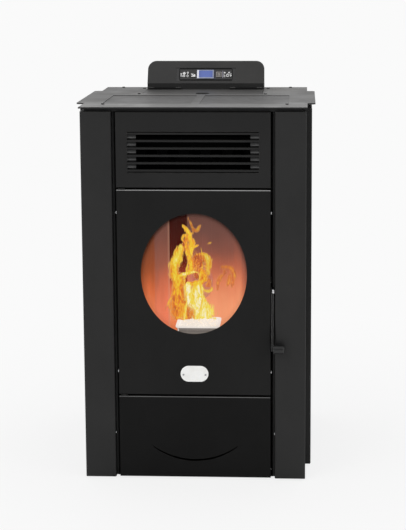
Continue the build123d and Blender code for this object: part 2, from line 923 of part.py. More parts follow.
with BuildPart() as hinge_brackets:
    for edge, up in ((door_high, 1), (door_low, -1)):
        leaf_near = edge + up * hinge_collar
        with BuildSketch(Plane.YZ.offset(hinge_x - hinge_lug_width / 2)):
            with BuildLine():
                leaf_mid = leaf_near + up * hinge_leaf / 2
                FilletPolyline(
                    (depth(0), leaf_mid),
                    (depth(flange_front - hinge_leaf / 2), leaf_mid),
                    (depth(flange_front - hinge_leaf / 2), leaf_mid + up * hinge_tongue),
                    radius=hinge_leaf,
                )
                offset(amount=hinge_leaf / 2)
            make_face()
        extrude(amount=hinge_lug_width)
        with BuildSketch(Plane.XY.offset(leaf_near)):
            with Locations((hinge_x, depth(hinge_depth))):
                Circle(hinge_pin / 2)
        extrude(amount=-up * hinge_pin_reach)
        with BuildSketch(Plane.XY.offset(leaf_near)):
            with Locations((hinge_x, depth(hinge_depth))):
                Circle(hinge_lug_width / 2 - hinge_collar)
        extrude(amount=-up * (hinge_collar - fit))
save(hinge_brackets, "hinge_brackets")

with BuildPart() as latch_lever:
    with BuildSketch(Plane.YZ.offset(lever_x)):
        with BuildLine():
            FilletPolyline(
                (depth(latch_depth), latch_z),
                (depth(latch_depth), latch_z - lever_drop / 2),
                (depth(-knob_out), knob_z),
                radius=lever_drop,
            )
            offset(amount=lever_width / 2)
        make_face()
        with Locations((depth(latch_depth), latch_z)):
            Circle(latch_hub / 2)
    extrude(amount=lever_thick)
    with BuildSketch(Plane.YZ.offset(lever_x)):
        with Locations((depth(latch_depth), latch_z)):
            Circle(latch_shaft / 2)
    extrude(amount=-(lever_gap + latch_notch_side + latch_bearing_width - fit))
    hook_left = front_half - hook_inset - hook_thick
    with BuildSketch(Plane.YZ.offset(hook_left)):
        with Locations((depth(latch_depth), latch_z)):
            Circle(latch_hub / 2)
        with BuildLine():
            hook_top = latch_z + keeper_rise - keeper_pin / 2 - fit
            Polyline(
                (depth(latch_depth), latch_z + latch_hub / 2),
                (depth(latch_depth + latch_hub), hook_top),
                (depth(keeper_depth + keeper_pin), hook_top),
                (depth(keeper_depth + keeper_pin), hook_top - hook_thick),
                (depth(latch_depth + latch_hub), hook_top - 2 * hook_thick),
                (depth(latch_depth), latch_z - latch_hub / 2),
                close=True,
            )
        make_face()
    extrude(amount=hook_thick)
    with BuildSketch(Plane.YZ.offset(lever_x + lever_thick)):
        with Locations((depth(latch_depth), latch_z)):
            Circle(latch_hub / 2 - fit)
    extrude(amount=latch_dome)
    fillet(latch_lever.edges().group_by(Axis.X)[-1], radius=dome_round)
save(latch_lever, "latch_lever")

with BuildPart() as latch_knob:
    with BuildSketch(Plane.YZ.offset(lever_x + lever_thick)):
        with Locations((depth(-knob_out), knob_z)):
            Circle(knob_diameter / 2)
    extrude(amount=knob_length)
    fillet(latch_knob.edges().group_by(Axis.X)[-1], radius=knob_diameter / 4)
    fillet(latch_knob.edges().group_by(Axis.X)[0], radius=hinge_collar)
save(latch_knob, "latch_knob")

keeper_cheek_right = hook_left - keeper_gap
with BuildPart() as latch_keeper:
    keeper_z = latch_z + keeper_rise
    with BuildSketch(Plane.YZ.offset(keeper_cheek_right - keeper_cheek)):
        with Locations((depth(keeper_depth), keeper_z)):
            Circle(keeper_pin)
        with BuildLine():
            Polyline(
                (depth(keeper_depth), keeper_z - keeper_pin),
                (depth(flange_front), keeper_z - keeper_pin),
                (depth(flange_front), keeper_z + keeper_foot + keeper_pin),
                (depth(flange_front - keeper_cheek), keeper_z + keeper_foot + keeper_pin),
                (depth(keeper_depth), keeper_z + keeper_pin),
                close=True,
            )
        make_face()
    extrude(amount=keeper_cheek)
    with BuildSketch(upright(flange_front)):
        with Locations((keeper_cheek_right + keeper_foot / 2, keeper_z + keeper_pin + keeper_foot / 2)):
            Rectangle(keeper_foot + 2 * fit, keeper_foot)
    extrude(amount=keeper_cheek)
    with BuildSketch(Plane.YZ.offset(keeper_cheek_right - keeper_cheek)):
        with Locations((depth(keeper_depth), keeper_z)):
            Circle(keeper_pin / 2)
    extrude(amount=front_half - hook_inset + sheet - keeper_cheek_right + keeper_cheek)
save(latch_keeper, "latch_keeper")

# ------------------------------------------------------------------------------------------------
# Ash drawer and its runners
# ------------------------------------------------------------------------------------------------

grip_sink = grip_height - grip_sag

drawer_tray = front_tray(drawer_front_low, drawer_front_high)
with BuildPart() as drawer_front:
    add(drawer_tray)
    with BuildSketch(upright(0)):
        with BuildLine():
            grip_half = grip_chord / 2
            upper_left = (-grip_half, grip_height + grip_slot_end / 2)
            upper_right = (grip_half, grip_height + grip_slot_end / 2)
            lower_left = (-grip_half, grip_height - grip_slot_end / 2)
            lower_right = (grip_half, grip_height - grip_slot_end / 2)
            ThreePointArc(upper_left, (0, grip_sink + grip_slot / 2), upper_right)
            Line(upper_right, lower_right)
            ThreePointArc(lower_right, (0, grip_sink - grip_slot / 2), lower_left)
            Line(lower_left, upper_left)
        make_face()
    extrude(amount=-sheet, mode=Mode.SUBTRACT)
save(drawer_front, "drawer_front")

with BuildPart() as drawer_box:
    with BuildSketch(Plane.XY.offset(drawer_rise)):
        with Locations((0, depth((sheet + drawer_box_back) / 2))):
            Rectangle(drawer_box_width, drawer_box_back - sheet)
    extrude(amount=drawer_box_height)
    offset(amount=-drawer_box_sheet, openings=drawer_box.faces().sort_by(Axis.Z)[-1])
    with BuildSketch(upright(sheet)):
        with Locations((0, drawer_rise + drawer_box_sheet + drawer_box_height / 2)):
            Rectangle(drawer_box_width - 2 * drawer_box_sheet, drawer_box_height)
    extrude(amount=-drawer_box_sheet, mode=Mode.SUBTRACT)
    with BuildSketch(upright(drawer_box_front)):
        with Locations((0, drawer_rise + drawer_box_height / 2)):
            Rectangle(drawer_box_width - drawer_box_sheet, drawer_box_height)
    extrude(amount=-drawer_box_sheet)
save(drawer_box, "drawer_box")

# ------------------------------------------------------------------------------------------------
# Firebox, heat exchanger and linings
# ------------------------------------------------------------------------------------------------

firebox_half = firebox_width / 2
firebox_shell_back = firebox_back + firebox_wall
exchanger_low = firebox_high + firebox_wall
exchanger_high = exchanger_low + exchanger_height
flange_half = pocket_half - fit
feed_slope = math.sqrt(0.5)         # the feed tube and the chute both slope at 45 degrees
chute_start_depth = auger_low_depth - chute_along * feed_slope
chute_start_z = auger_low_rise + chute_along * feed_slope
chute_wall_z = chute_start_z - (chute_start_depth - firebox_back)
chute_direction = (0, -1, -1)
pot_centre = pot_front + pot_length / 2
pot_low = pot_rim - pot_height
air_box_half = pot_width / 2 - stand_inset

with BuildPart() as firebox_body:
    with BuildSketch(upright(flange_front)):
        with Locations((0, (flange_low + flange_high) / 2)):
            Rectangle(2 * flange_half, flange_high - flange_low)
        with Locations((0, (firebox_low + firebox_high) / 2)):
            Rectangle(firebox_width, firebox_high - firebox_low, mode=Mode.SUBTRACT)
    extrude(amount=-firebox_wall)
    with BuildSketch(upright(flange_back)):
        with Locations((0, (firebox_low + firebox_high) / 2)):
            RectangleRounded(
                2 * firebox_outer, firebox_high - firebox_low + 2 * firebox_wall, radius=2 * firebox_wall
            )
            RectangleRounded(
                firebox_width, firebox_high - firebox_low, radius=firebox_wall, mode=Mode.SUBTRACT
            )
    extrude(amount=-(firebox_shell_back - flange_back))
    with BuildSketch(upright(firebox_back)):
        with Locations((0, (firebox_low + firebox_high) / 2)):
            Rectangle(2 * firebox_half, firebox_high - firebox_low)
    extrude(amount=-firebox_wall)
    with BuildSketch(Plane.XY.offset(firebox_low)):
        with Locations((0, depth(ash_slot_front + ash_slot_length / 2))):
            Rectangle(ash_slot_width, ash_slot_length)
        with Locations((0, depth(pot_centre))):
            Circle(intake_diameter / 2)
    extrude(amount=-firebox_wall, mode=Mode.SUBTRACT)
    with BuildSketch(Plane.XY.offset(firebox_high)):
        with Locations((0, depth(smoke_slot_front + smoke_slot_length / 2))):
            Rectangle(ash_slot_width, smoke_slot_length)
    extrude(amount=firebox_wall, mode=Mode.SUBTRACT)
    with BuildSketch(Plane(origin=(0, depth(firebox_back), chute_wall_z), z_dir=chute_direction)):
        Circle(chute_diameter / 2 + fit)
    extrude(amount=chute_diameter, both=True, mode=Mode.SUBTRACT)
    with BuildSketch(upright(firebox_back)):
        with Locations((0, igniter_rise)):
            Circle(igniter_diameter / 2 + fit)
    extrude(amount=-firebox_wall, mode=Mode.SUBTRACT)
save(firebox_body, "firebox_body")

exchanger_middle = exchanger_low + exchanger_height / 2
tube_front = exchanger_front - sheet
tube_back = firebox_shell_back + tube_overhang
with BuildPart() as heat_exchanger:
    with BuildSketch(upright(exchanger_front)):
        with Locations((0, exchanger_middle)):
            Rectangle(2 * firebox_outer, exchanger_height)
    extrude(amount=-(firebox_shell_back - exchanger_front))
    offset(amount=-firebox_wall, openings=heat_exchanger.faces().sort_by(Axis.Z)[0])
    with BuildSketch(upright(tube_front)):
        with Locations((0, exchanger_middle)):
            with GridLocations(tube_pitch_x, tube_pitch_z, tube_columns, tube_rows):
                Circle(tube_diameter / 2)
    extrude(amount=-(tube_back - tube_front))
    with BuildSketch(upright(tube_front)):
        with Locations((0, exchanger_middle)):
            with GridLocations(tube_pitch_x, tube_pitch_z, tube_columns, tube_rows):
                Circle(tube_diameter / 2 - tube_wall)
    extrude(amount=-(tube_back - tube_front), mode=Mode.SUBTRACT)
save(heat_exchanger, "heat_exchanger")


def side_liner(side, label):
    """Folded lining plate standing at one side of the fire."""
    with BuildPart() as liner:
        with BuildSketch(Plane.XY.offset(firebox_low)):
            with BuildLine():
                FilletPolyline(
                    (firebox_half - liner_thick - fit, depth(flange_back + fit)),
                    (liner_fold_x, depth(liner_fold_depth)),
                    (liner_back_x, depth(firebox_back - fireback_thick)),
                    radius=liner_thick / 2,
                )
                offset(amount=liner_thick, side=Side.LEFT)
            make_face()
        extrude(amount=baffle_height - firebox_low)
        if side > 0:
            mirror(about=Plane.YZ, mode=Mode.REPLACE)
    save(liner, label)


side_liner(1, "right_liner")
side_liner(-1, "left_liner")

fireback_half = liner_back_x - fit
rib_count = int(2 * fireback_half // fireback_rib_pitch)
with BuildPart() as fireback:
    with BuildSketch(Plane.XY.offset(firebox_low)):
        with Locations((0, depth(firebox_back - fireback_thick / 2))):
            Rectangle(2 * fireback_half, fireback_thick)
        with Locations((0, depth(firebox_back - fireback_thick - fireback_rib / 2))):
            with GridLocations(fireback_rib_pitch, fireback_rib, rib_count, 1):
                Rectangle(fireback_rib_width, fireback_rib)
    extrude(amount=baffle_height - firebox_low)
    with BuildSketch(Plane(origin=(0, depth(firebox_back), chute_wall_z), z_dir=chute_direction)):
        Circle(chute_diameter / 2 + fit)
    extrude(amount=chute_diameter, both=True, mode=Mode.SUBTRACT)
    with BuildSketch(upright(firebox_back)):
        with Locations((0, igniter_rise)):
            Circle(igniter_diameter / 2 + fit)
    extrude(amount=2 * fireback_thick, mode=Mode.SUBTRACT)
save(fireback, "fireback")

with BuildPart() as baffle_plate:
    with BuildSketch(Plane.XY.offset(baffle_height)):
        with Locations((0, depth((baffle_front + firebox_back - fit) / 2))):
            Rectangle(firebox_width - 2 * fit, firebox_back - fit - baffle_front)
    extrude(amount=baffle_thick)
    fillet(baffle_plate.edges().filter_by(Axis.Z), radius=fold)
save(baffle_plate, "baffle_plate")

# ------------------------------------------------------------------------------------------------
# Burn pot, its stand and the igniter
# ------------------------------------------------------------------------------------------------

pot_mid_y = depth(pot_centre)
with BuildPart() as brazier:
    with BuildSketch(Plane.XY.offset(pot_low)):
        with Locations((0, pot_mid_y)):
            RectangleRounded(pot_width - 2 * pot_taper, pot_length - 2 * pot_taper, radius=2 * pot_wall)
    with BuildSketch(Plane.XY.offset(pot_rim)):
        with Locations((0, pot_mid_y)):
            RectangleRounded(pot_width - 2 * pot_lip, pot_length - 2 * pot_lip, radius=2 * pot_wall)
    loft(ruled=True)
    offset(amount=-pot_wall, openings=brazier.faces().sort_by(Axis.Z)[-1])
    with BuildSketch(Plane.XY.offset(pot_rim)):
        with Locations((0, pot_mid_y)):
            RectangleRounded(pot_width, pot_length, radius=2 * pot_wall + pot_lip)
            RectangleRounded(
                pot_width - 2 * pot_lip - 2 * pot_wall,
                pot_length - 2 * pot_lip - 2 * pot_wall,
                radius=pot_wall,
                mode=Mode.SUBTRACT,
            )
    extrude(amount=-pot_wall)
    with BuildSketch(Plane.XY.offset(pot_low)):
        with Locations((0, pot_mid_y)):
            with GridLocations(pot_hole_pitch, pot_hole_pitch, pot_hole_count, pot_hole_count):
                Circle(pot_air_hole / 2)
    extrude(amount=pot_wall, mode=Mode.SUBTRACT)
    with BuildSketch(upright(pot_front)):
        with Locations((0, pot_low + pot_front_rise)):
            with GridLocations(pot_front_pitch, pot_front_pitch, pot_hole_count, pot_front_rows):
                Circle(pot_air_hole / 2)
    extrude(amount=-3 * pot_wall, mode=Mode.SUBTRACT)
save(brazier, "brazier")

with BuildPart() as brazier_stand:
    with BuildSketch(Plane.XY.offset(firebox_low)):
        with Locations((0, pot_mid_y)):
            Rectangle(2 * air_box_half, pot_length - 2 * stand_inset)
            Rectangle(
                2 * (air_box_half - stand_wall),
                pot_length - 2 * (stand_inset + stand_wall),
                mode=Mode.SUBTRACT,
            )
    extrude(amount=pot_low - firebox_low)
    with BuildSketch(Plane.XY.offset(firebox_low)):
        with Locations((0, pot_mid_y)):
            Rectangle(2 * air_box_half + 2 * stand_inset, pot_length)
            Rectangle(
                2 * (air_box_half - stand_wall),
                pot_length - 2 * (stand_inset + stand_wall),
                mode=Mode.SUBTRACT,
            )
    extrude(amount=stand_wall)
    with BuildSketch(upright(pot_front + pot_length)):
        with Locations((0, igniter_rise)):
            Circle(igniter_diameter / 2 + fit)
    extrude(amount=2 * stand_inset + stand_wall, mode=Mode.SUBTRACT)
save(brazier_stand, "brazier_stand")

with BuildPart() as igniter:
    with BuildSketch(upright(pot_centre)):
        with Locations((0, igniter_rise)):
            Circle(igniter_diameter / 2)
    extrude(amount=-(firebox_shell_back + 2 * igniter_collar - pot_centre))
    fillet(igniter.edges().group_by(Axis.Y)[0], radius=igniter_diameter / 4)
    with BuildSketch(upright(firebox_shell_back)):
        with Locations((0, igniter_rise)):
            RegularPolygon(igniter_diameter, 6)
    extrude(amount=-igniter_collar)
save(igniter, "igniter")

# ------------------------------------------------------------------------------------------------
# Combustion air: intake pipe and the box under the pot
# ------------------------------------------------------------------------------------------------

air_box_low = intake_rise - intake_diameter / 2
floor_under = firebox_low - firebox_wall
with BuildPart() as air_intake:
    with BuildSketch(Plane.XY.offset(air_box_low)):
        with Locations((0, pot_mid_y)):
            RectangleRounded(2 * air_box_half, pot_length, radius=2 * pot_wall)
    extrude(amount=floor_under - air_box_low)
    with BuildSketch(upright(pot_centre)):
        with Locations((0, intake_rise)):
            Circle(intake_diameter / 2)
    extrude(amount=-(case_depth + intake_out - pot_centre))
    with BuildSketch(upright(case_depth)):
        with Locations((0, intake_rise)):
            Circle(intake_diameter / 2 + pipe_bead)
    extrude(amount=-pipe_bead)
    with BuildSketch(Plane.XY.offset(air_box_low + intake_wall)):
        with Locations((0, pot_mid_y)):
            Rectangle(2 * (air_box_half - 2 * intake_wall), pot_length - 4 * intake_wall)
    extrude(amount=floor_under - air_box_low, mode=Mode.SUBTRACT)
    with BuildSketch(upright(pot_centre)):
        with Locations((0, intake_rise)):
            Circle(intake_diameter / 2 - intake_wall)
    extrude(amount=-(case_depth + intake_out - pot_centre), mode=Mode.SUBTRACT)
save(air_intake, "air_intake")

# ------------------------------------------------------------------------------------------------
# Pellet hopper, guard, feed tube, auger and chute
# ------------------------------------------------------------------------------------------------

hopper_centre = hopper_front + hopper_length / 2
hopper_bend = plate_under - hopper_box_height


def hopper_solid(shrink):
    """Filled outline of the hopper, drawn in all round by a wall."""
    with BuildPart() as body:
        with BuildSketch(Plane.XY.offset(hopper_bend)):
            with Locations((0, depth(hopper_centre))):
                Rectangle(hopper_width - 2 * shrink, hopper_length - 2 * shrink)
        extrude(amount=plate_under - hopper_bend)
        with BuildSketch(Plane.XY.offset(hopper_throat_rise)):
            with Locations((0, depth(hopper_throat_depth))):
                Rectangle(hopper_throat - 2 * shrink, hopper_throat - 2 * shrink)
        with BuildSketch(Plane.XY.offset(hopper_bend)):
            with Locations((0, depth(hopper_centre))):
                Rectangle(hopper_width - 2 * shrink, hopper_length - 2 * shrink)
        loft(ruled=True)
        with BuildSketch(Plane.XY.offset(hopper_throat_rise - hopper_throat_reach)):
            with Locations((0, depth(hopper_throat_depth))):
                Rectangle(hopper_throat - 2 * shrink, hopper_throat - 2 * shrink)
        extrude(amount=hopper_throat_reach)
    return body.part


def feed_plane(along):
    """Plane square to the feed tube, at a distance up from its low end."""
    origin = (0, depth(auger_low_depth - along * feed_slope), auger_low_rise + along * feed_slope)
    return Plane(origin=origin, x_dir=(1, 0, 0), z_dir=(0, -1, 1))


hopper_outside = hopper_solid(0)
hopper_inside = hopper_solid(hopper_sheet)
with BuildPart() as hopper:
    add(hopper_outside)
    add(hopper_inside, mode=Mode.SUBTRACT)
    with BuildSketch(Plane.XY.offset(plate_under)):
        with Locations((0, depth(hopper_centre))):
            Rectangle(hopper_width, hopper_length)
        with Locations((0, depth(fill_front + fill_length / 2))):
            Rectangle(fill_width, fill_length, mode=Mode.SUBTRACT)
    extrude(amount=-hopper_sheet)
    with BuildSketch(feed_plane(0)):
        Circle(auger_tube_diameter / 2 + fit)
    extrude(amount=auger_length, mode=Mode.SUBTRACT)
save(hopper, "hopper")

grid_z = plate_under - grid_drop
grid_half_width = hopper_width / 2 - hopper_sheet
grid_half_length = hopper_length / 2 - hopper_sheet
with BuildPart() as hopper_grid:
    with BuildSketch(Plane.XY.offset(grid_z)):
        with Locations((0, depth(hopper_centre))):
            Rectangle(2 * grid_half_width, 2 * grid_half_length)
            Rectangle(
                2 * (grid_half_width - grid_bar), 2 * (grid_half_length - grid_bar), mode=Mode.SUBTRACT
            )
            bars = int(2 * grid_half_width // grid_pitch)
            with GridLocations(grid_pitch, 1, bars, 1):
                Rectangle(grid_bar / 2, 2 * grid_half_length)
            Rectangle(2 * grid_half_width, grid_bar / 2)
    extrude(amount=grid_bar)
save(hopper_grid, "hopper_grid")

chute_length = (chute_start_depth - firebox_back) / feed_slope
chute_plane = Plane(origin=(0, depth(chute_start_depth), chute_start_z), z_dir=chute_direction)
with BuildPart() as feed_tube:
    with BuildSketch(feed_plane(0)):
        Circle(auger_tube_diameter / 2)
    extrude(amount=auger_length)
    with BuildSketch(chute_plane):
        Circle(chute_diameter / 2)
    extrude(amount=chute_length)
    with BuildSketch(feed_plane(0)):
        Circle(auger_tube_diameter / 2 - auger_tube_wall)
    extrude(amount=auger_length - auger_tube_wall, mode=Mode.SUBTRACT)
    with BuildSketch(chute_plane):
        Circle(chute_diameter / 2 - auger_tube_wall)
    extrude(amount=chute_length, mode=Mode.SUBTRACT)
    with BuildSketch(Plane.XY.offset(auger_low_rise)):
        with Locations((0, depth(hopper_throat_depth))):
            Rectangle(hopper_throat - 4 * hopper_sheet, hopper_throat - 4 * hopper_sheet)
    extrude(amount=2 * hopper_throat_reach + auger_tube_diameter, mode=Mode.SUBTRACT)
save(feed_tube, "feed_tube")

auger_screw_length = auger_length - 3 * auger_tube_wall
auger_turns = int(auger_screw_length // auger_pitch)
flight_foot = auger_core / 2 - fit
flight_mid = (auger_diameter / 2 + flight_foot) / 2
flight_start = (auger_screw_length - auger_turns * auger_pitch) / 2
flight_path = Helix(
    pitch=auger_pitch,
    height=auger_turns * auger_pitch,
    radius=flight_mid,
    center=(0, 0, flight_start),
    mode=Mode.PRIVATE,
)
with BuildPart() as auger_blank:
    with BuildSketch():
        Circle(auger_core / 2)
    extrude(amount=auger_screw_length)
    with BuildSketch(Plane.XZ):
        with Locations((flight_mid, flight_start)):
            Rectangle(auger_diameter / 2 - flight_foot, auger_flight)
    sweep(path=flight_path, is_frenet=True)
    with BuildSketch():
        Circle(drive_shaft / 2)
    extrude(amount=-gearbox_length / 2)
placed_auger = feed_plane(auger_tube_wall).location * auger_blank.part
with BuildPart() as auger_screw:
    add(placed_auger)
save(auger_screw, "auger_screw")

with BuildPart() as auger_gearmotor:
    with BuildSketch(feed_plane(0)):
        RectangleRounded(gearbox_size, gearbox_size, radius=fold)
    extrude(amount=-gearbox_length)
    with BuildSketch(feed_plane(-gearbox_length)):
        Circle(motor_diameter / 2)
    extrude(amount=-motor_length)
    with BuildSketch(feed_plane(0)):
        Circle(drive_shaft / 2 + hinge_play)
    extrude(amount=-shaft_socket, mode=Mode.SUBTRACT)
save(auger_gearmotor, "auger_gearmotor")

# ------------------------------------------------------------------------------------------------
# Smoke fan, flue stub, room fan and its duct
# ------------------------------------------------------------------------------------------------

scroll_left = flue_x - scroll_width / 2
scroll_right = flue_x + scroll_width / 2
collar_end = scroll_depth + scroll_diameter / 2 + flue_collar
flue_start = scroll_depth + scroll_diameter / 2 - flue_collar / 2

with BuildPart() as smoke_fan_housing:
    with BuildSketch(Plane.YZ.offset(scroll_left)):
        with Locations((depth(scroll_depth), scroll_rise)):
            Circle(scroll_diameter / 2)
    extrude(amount=scroll_width)
    with BuildSketch(upright(scroll_depth)):
        with Locations((flue_x, flue_rise)):
            Circle(flue_diameter / 2 + flue_wall)
    extrude(amount=-(collar_end - scroll_depth))
    with BuildSketch(Plane.YZ.offset(scroll_left - smoke_box_width)):
        smoke_box_depth = (firebox_shell_back + scroll_depth) / 2
        with Locations((depth(smoke_box_depth), (smoke_box_low + smoke_box_high) / 2)):
            Rectangle(scroll_depth - firebox_shell_back, smoke_box_high - smoke_box_low)
    extrude(amount=smoke_box_width)
    with BuildSketch(Plane.YZ.offset(scroll_left + scroll_wall)):
        with Locations((depth(scroll_depth), scroll_rise)):
            Circle(scroll_diameter / 2 - scroll_wall)
    extrude(amount=scroll_width - 2 * scroll_wall, mode=Mode.SUBTRACT)
    with BuildSketch(upright(scroll_depth)):
        with Locations((flue_x, flue_rise)):
            Circle(flue_diameter / 2 + hinge_play)
    extrude(amount=-(collar_end - scroll_depth), mode=Mode.SUBTRACT)
    with BuildSketch(Plane.YZ.offset(scroll_right)):
        with Locations((depth(scroll_depth), scroll_rise)):
            Circle(drive_shaft / 2 + hinge_play)
    extrude(amount=-2 * scroll_wall, mode=Mode.SUBTRACT)
save(smoke_fan_housing, "smoke_fan_housing")


def fan_wheel(middle_x, axis_depth, axis_z, wheel_diameter, wheel_width, blades, inner_diameter, reach):
    """Backplate, hub, blades and shaft of a fan wheel that turns about X."""
    centre = (depth(axis_depth), axis_z)
    blade_span = (wheel_diameter - inner_diameter) / 2
    wheel_face = Plane.YZ.offset(middle_x + wheel_width / 2)
    with BuildPart() as wheel:
        with BuildSketch(wheel_face):
            with Locations(centre):
                Circle(wheel_diameter / 2)
        extrude(amount=-wheel_blade)
        with BuildSketch(wheel_face):
            with Locations(centre):
                Circle(wheel_hub / 2)
        extrude(amount=-wheel_width / 2)
        with BuildSketch(wheel_face):
            with Locations(centre):
                with PolarLocations((wheel_diameter - blade_span) / 2 - wheel_blade, blades):
                    Rectangle(blade_span, wheel_blade, rotation=wheel_blade_angle)
        extrude(amount=-wheel_width)
        with BuildSketch(wheel_face):
            with Locations(centre):
                Circle(drive_shaft / 2)
        extrude(amount=reach)
    return wheel.part


smoke_wheel_x = scroll_right - scroll_wall - fan_width
smoke_wheel = fan_wheel(
    smoke_wheel_x, scroll_depth, scroll_rise, fan_diameter, fan_width, fan_blades, wheel_hub, fan_width
)
with BuildPart() as smoke_fan_wheel:
    add(smoke_wheel)
save(smoke_fan_wheel, "smoke_fan_wheel")

with BuildPart() as smoke_fan_motor:
    with BuildSketch(Plane.YZ.offset(scroll_right)):
        with Locations((depth(scroll_depth), scroll_rise)):
            Circle(fan_motor_diameter / 2)
    extrude(amount=fan_motor_length)
    fillet(smoke_fan_motor.edges().group_by(Axis.X)[-1], radius=fold)
    with BuildSketch(Plane.YZ.offset(scroll_right)):
        with Locations((depth(scroll_depth), scroll_rise)):
            Circle(drive_shaft / 2 + hinge_play)
    extrude(amount=fan_width, mode=Mode.SUBTRACT)
save(smoke_fan_motor, "smoke_fan_motor")

with BuildPart() as flue_stub:
    with BuildSketch(upright(flue_start)):
        with Locations((flue_x, flue_rise)):
            Circle(flue_diameter / 2)
            Circle(flue_diameter / 2 - flue_wall, mode=Mode.SUBTRACT)
    extrude(amount=-(case_depth + flue_out - flue_start))
    with BuildSketch(upright(case_depth)):
        with Locations((flue_x, flue_rise)):
            Circle(flue_diameter / 2 + pipe_bead)
            Circle(flue_diameter / 2 - flue_wall, mode=Mode.SUBTRACT)
    extrude(amount=-pipe_bead)
save(flue_stub, "flue_stub")

blower_left = blower_x - blower_width / 2
blower_right = blower_left + blower_width
neck_front = firebox_shell_back + riser_duct_gap
neck_back = neck_front + riser_duct_depth
neck_high = firebox_low - firebox_wall
neck_low = drawer_rise + drawer_box_height + drawer_neck_gap
with BuildPart() as room_fan_housing:
    with BuildSketch(Plane.YZ.offset(blower_left)):
        with Locations((depth(blower_depth), blower_rise)):
            Circle(blower_diameter / 2)
        with BuildLine():
            Polyline(
                (depth(neck_front), neck_high),
                (depth(neck_back), neck_high),
                (depth(blower_depth), blower_rise + blower_diameter / 2),
                (depth(blower_depth), blower_rise),
                (depth(neck_back), blower_rise),
                (depth(neck_front), neck_low),
                close=True,
            )
        make_face()
    extrude(amount=blower_width)
    offset(amount=-blower_wall, openings=room_fan_housing.faces().sort_by(Axis.Z)[-1])
    with BuildSketch(Plane.YZ.offset(blower_left)):
        with Locations((depth(blower_depth), blower_rise)):
            Circle(cage_diameter / 2 - blower_wall)
    extrude(amount=blower_wall, mode=Mode.SUBTRACT)
    with BuildSketch(Plane.YZ.offset(blower_right)):
        with Locations((depth(blower_depth), blower_rise)):
            Circle(room_motor_diameter / 2)
    extrude(amount=room_motor_length)
    fillet(room_fan_housing.edges().group_by(Axis.X)[-1], radius=fold)
    with BuildSketch(Plane.YZ.offset(blower_right - blower_wall)):
        with Locations((depth(blower_depth), blower_rise)):
            Circle(drive_shaft / 2 + hinge_play)
    extrude(amount=room_motor_length, mode=Mode.SUBTRACT)
save(room_fan_housing, "room_fan_housing")

cage_wheel = fan_wheel(
    blower_x, blower_depth, blower_rise, cage_diameter, cage_width, cage_blades, cage_inner, cage_width / 2
)
with BuildPart() as room_fan_wheel:
    add(cage_wheel)
save(room_fan_wheel, "room_fan_wheel")

with BuildPart() as riser_duct:
    with BuildSketch(upright(neck_front)):
        with BuildLine():
            Polyline(
                (blower_left, neck_high),
                (blower_right, neck_high),
                (blower_right, exchanger_low - riser_duct_depth),
                (firebox_outer, exchanger_low + riser_duct_gap),
                (firebox_outer, exchanger_high),
                (-firebox_outer, exchanger_high),
                (-firebox_outer, exchanger_low),
                close=True,
            )
        make_face()
    extrude(amount=-riser_duct_depth)
    offset(amount=-blower_wall, openings=riser_duct.faces().sort_by(Axis.Z)[0])
    with BuildSketch(upright(neck_front)):
        with Locations((0, exchanger_low + exchanger_height / 2)):
            with GridLocations(tube_pitch_x, tube_pitch_z, tube_columns, tube_rows):
                Circle(tube_diameter / 2 + fit)
    extrude(amount=-blower_wall, mode=Mode.SUBTRACT)
save(riser_duct, "riser_duct")

plenum_front = edge_return + fit
plenum_half = louvre_width / 2
plenum_high = louvre_high + louvre_lip
plenum_low = louvre_low - louvre_lip
with BuildPart() as air_plenum:
    with BuildSketch(Plane.YZ.offset(-plenum_half)):
        with BuildLine():
            Polyline(
                (depth(plenum_front), plenum_low),
                (depth(plenum_front), plenum_high),
                (depth(exchanger_front), plenum_high),
                (depth(exchanger_front), exchanger_low + 2 * riser_duct_gap),
                (depth(flange_back + fit), flange_high + fit),
                close=True,
            )
        make_face()
    extrude(amount=2 * plenum_half)
    plenum_ends = air_plenum.faces().filter_by(Axis.Y).sort_by(Axis.Y)
    offset(amount=-sheet, openings=[plenum_ends[0], plenum_ends[-1]])
save(air_plenum, "air_plenum")

# ------------------------------------------------------------------------------------------------
# Control panel
# ------------------------------------------------------------------------------------------------

slope_angle = math.atan2(console_slope_run, console_slope_rise)
slope_out = Vector(0, -math.cos(slope_angle), math.sin(slope_angle))
slope_up = Vector(0, math.sin(slope_angle), math.cos(slope_angle))
band_top = Vector(0, depth(console_front), plate_top + console_band)
console_high = plate_top + console_band + console_slope_rise


def slope_plane(height):
    """Plane along the sloping face, at the middle of the bezel, raised by a height."""
    middle = band_top + slope_up * bezel_up + slope_out * height
    return Plane(origin=middle, x_dir=(1, 0, 0), z_dir=slope_out)


def console_solid(shrink):
    """Filled outline of the control housing, drawn in by its wall."""
    with BuildPart() as body:
        with BuildSketch(Plane.YZ.offset(-console_half + shrink)):
            with BuildLine():
                Polyline(
                    (depth(console_front), plate_top),
                    (depth(console_front), plate_top + console_band),
                    (depth(console_front + console_slope_run), console_high),
                    (depth(console_front + console_slope_run + console_top_run), console_high),
                    (depth(console_foot), plate_top),
                    close=True,
                )
            make_face()
            if shrink:
                offset(amount=-shrink, kind=Kind.INTERSECTION, mode=Mode.REPLACE)
        extrude(amount=2 * (console_half - shrink))
        with BuildSketch(upright(console_front)) as front_outline:
            with Locations((0, (plate_top + console_high - shrink) / 2)):
                Rectangle(2 * (console_half - shrink), console_high - shrink - plate_top)
            fillet(front_outline.vertices().group_by(Axis.Y)[-1], radius=console_corner - shrink)
        extrude(amount=-(console_foot - console_front), mode=Mode.INTERSECT)
    return body.part


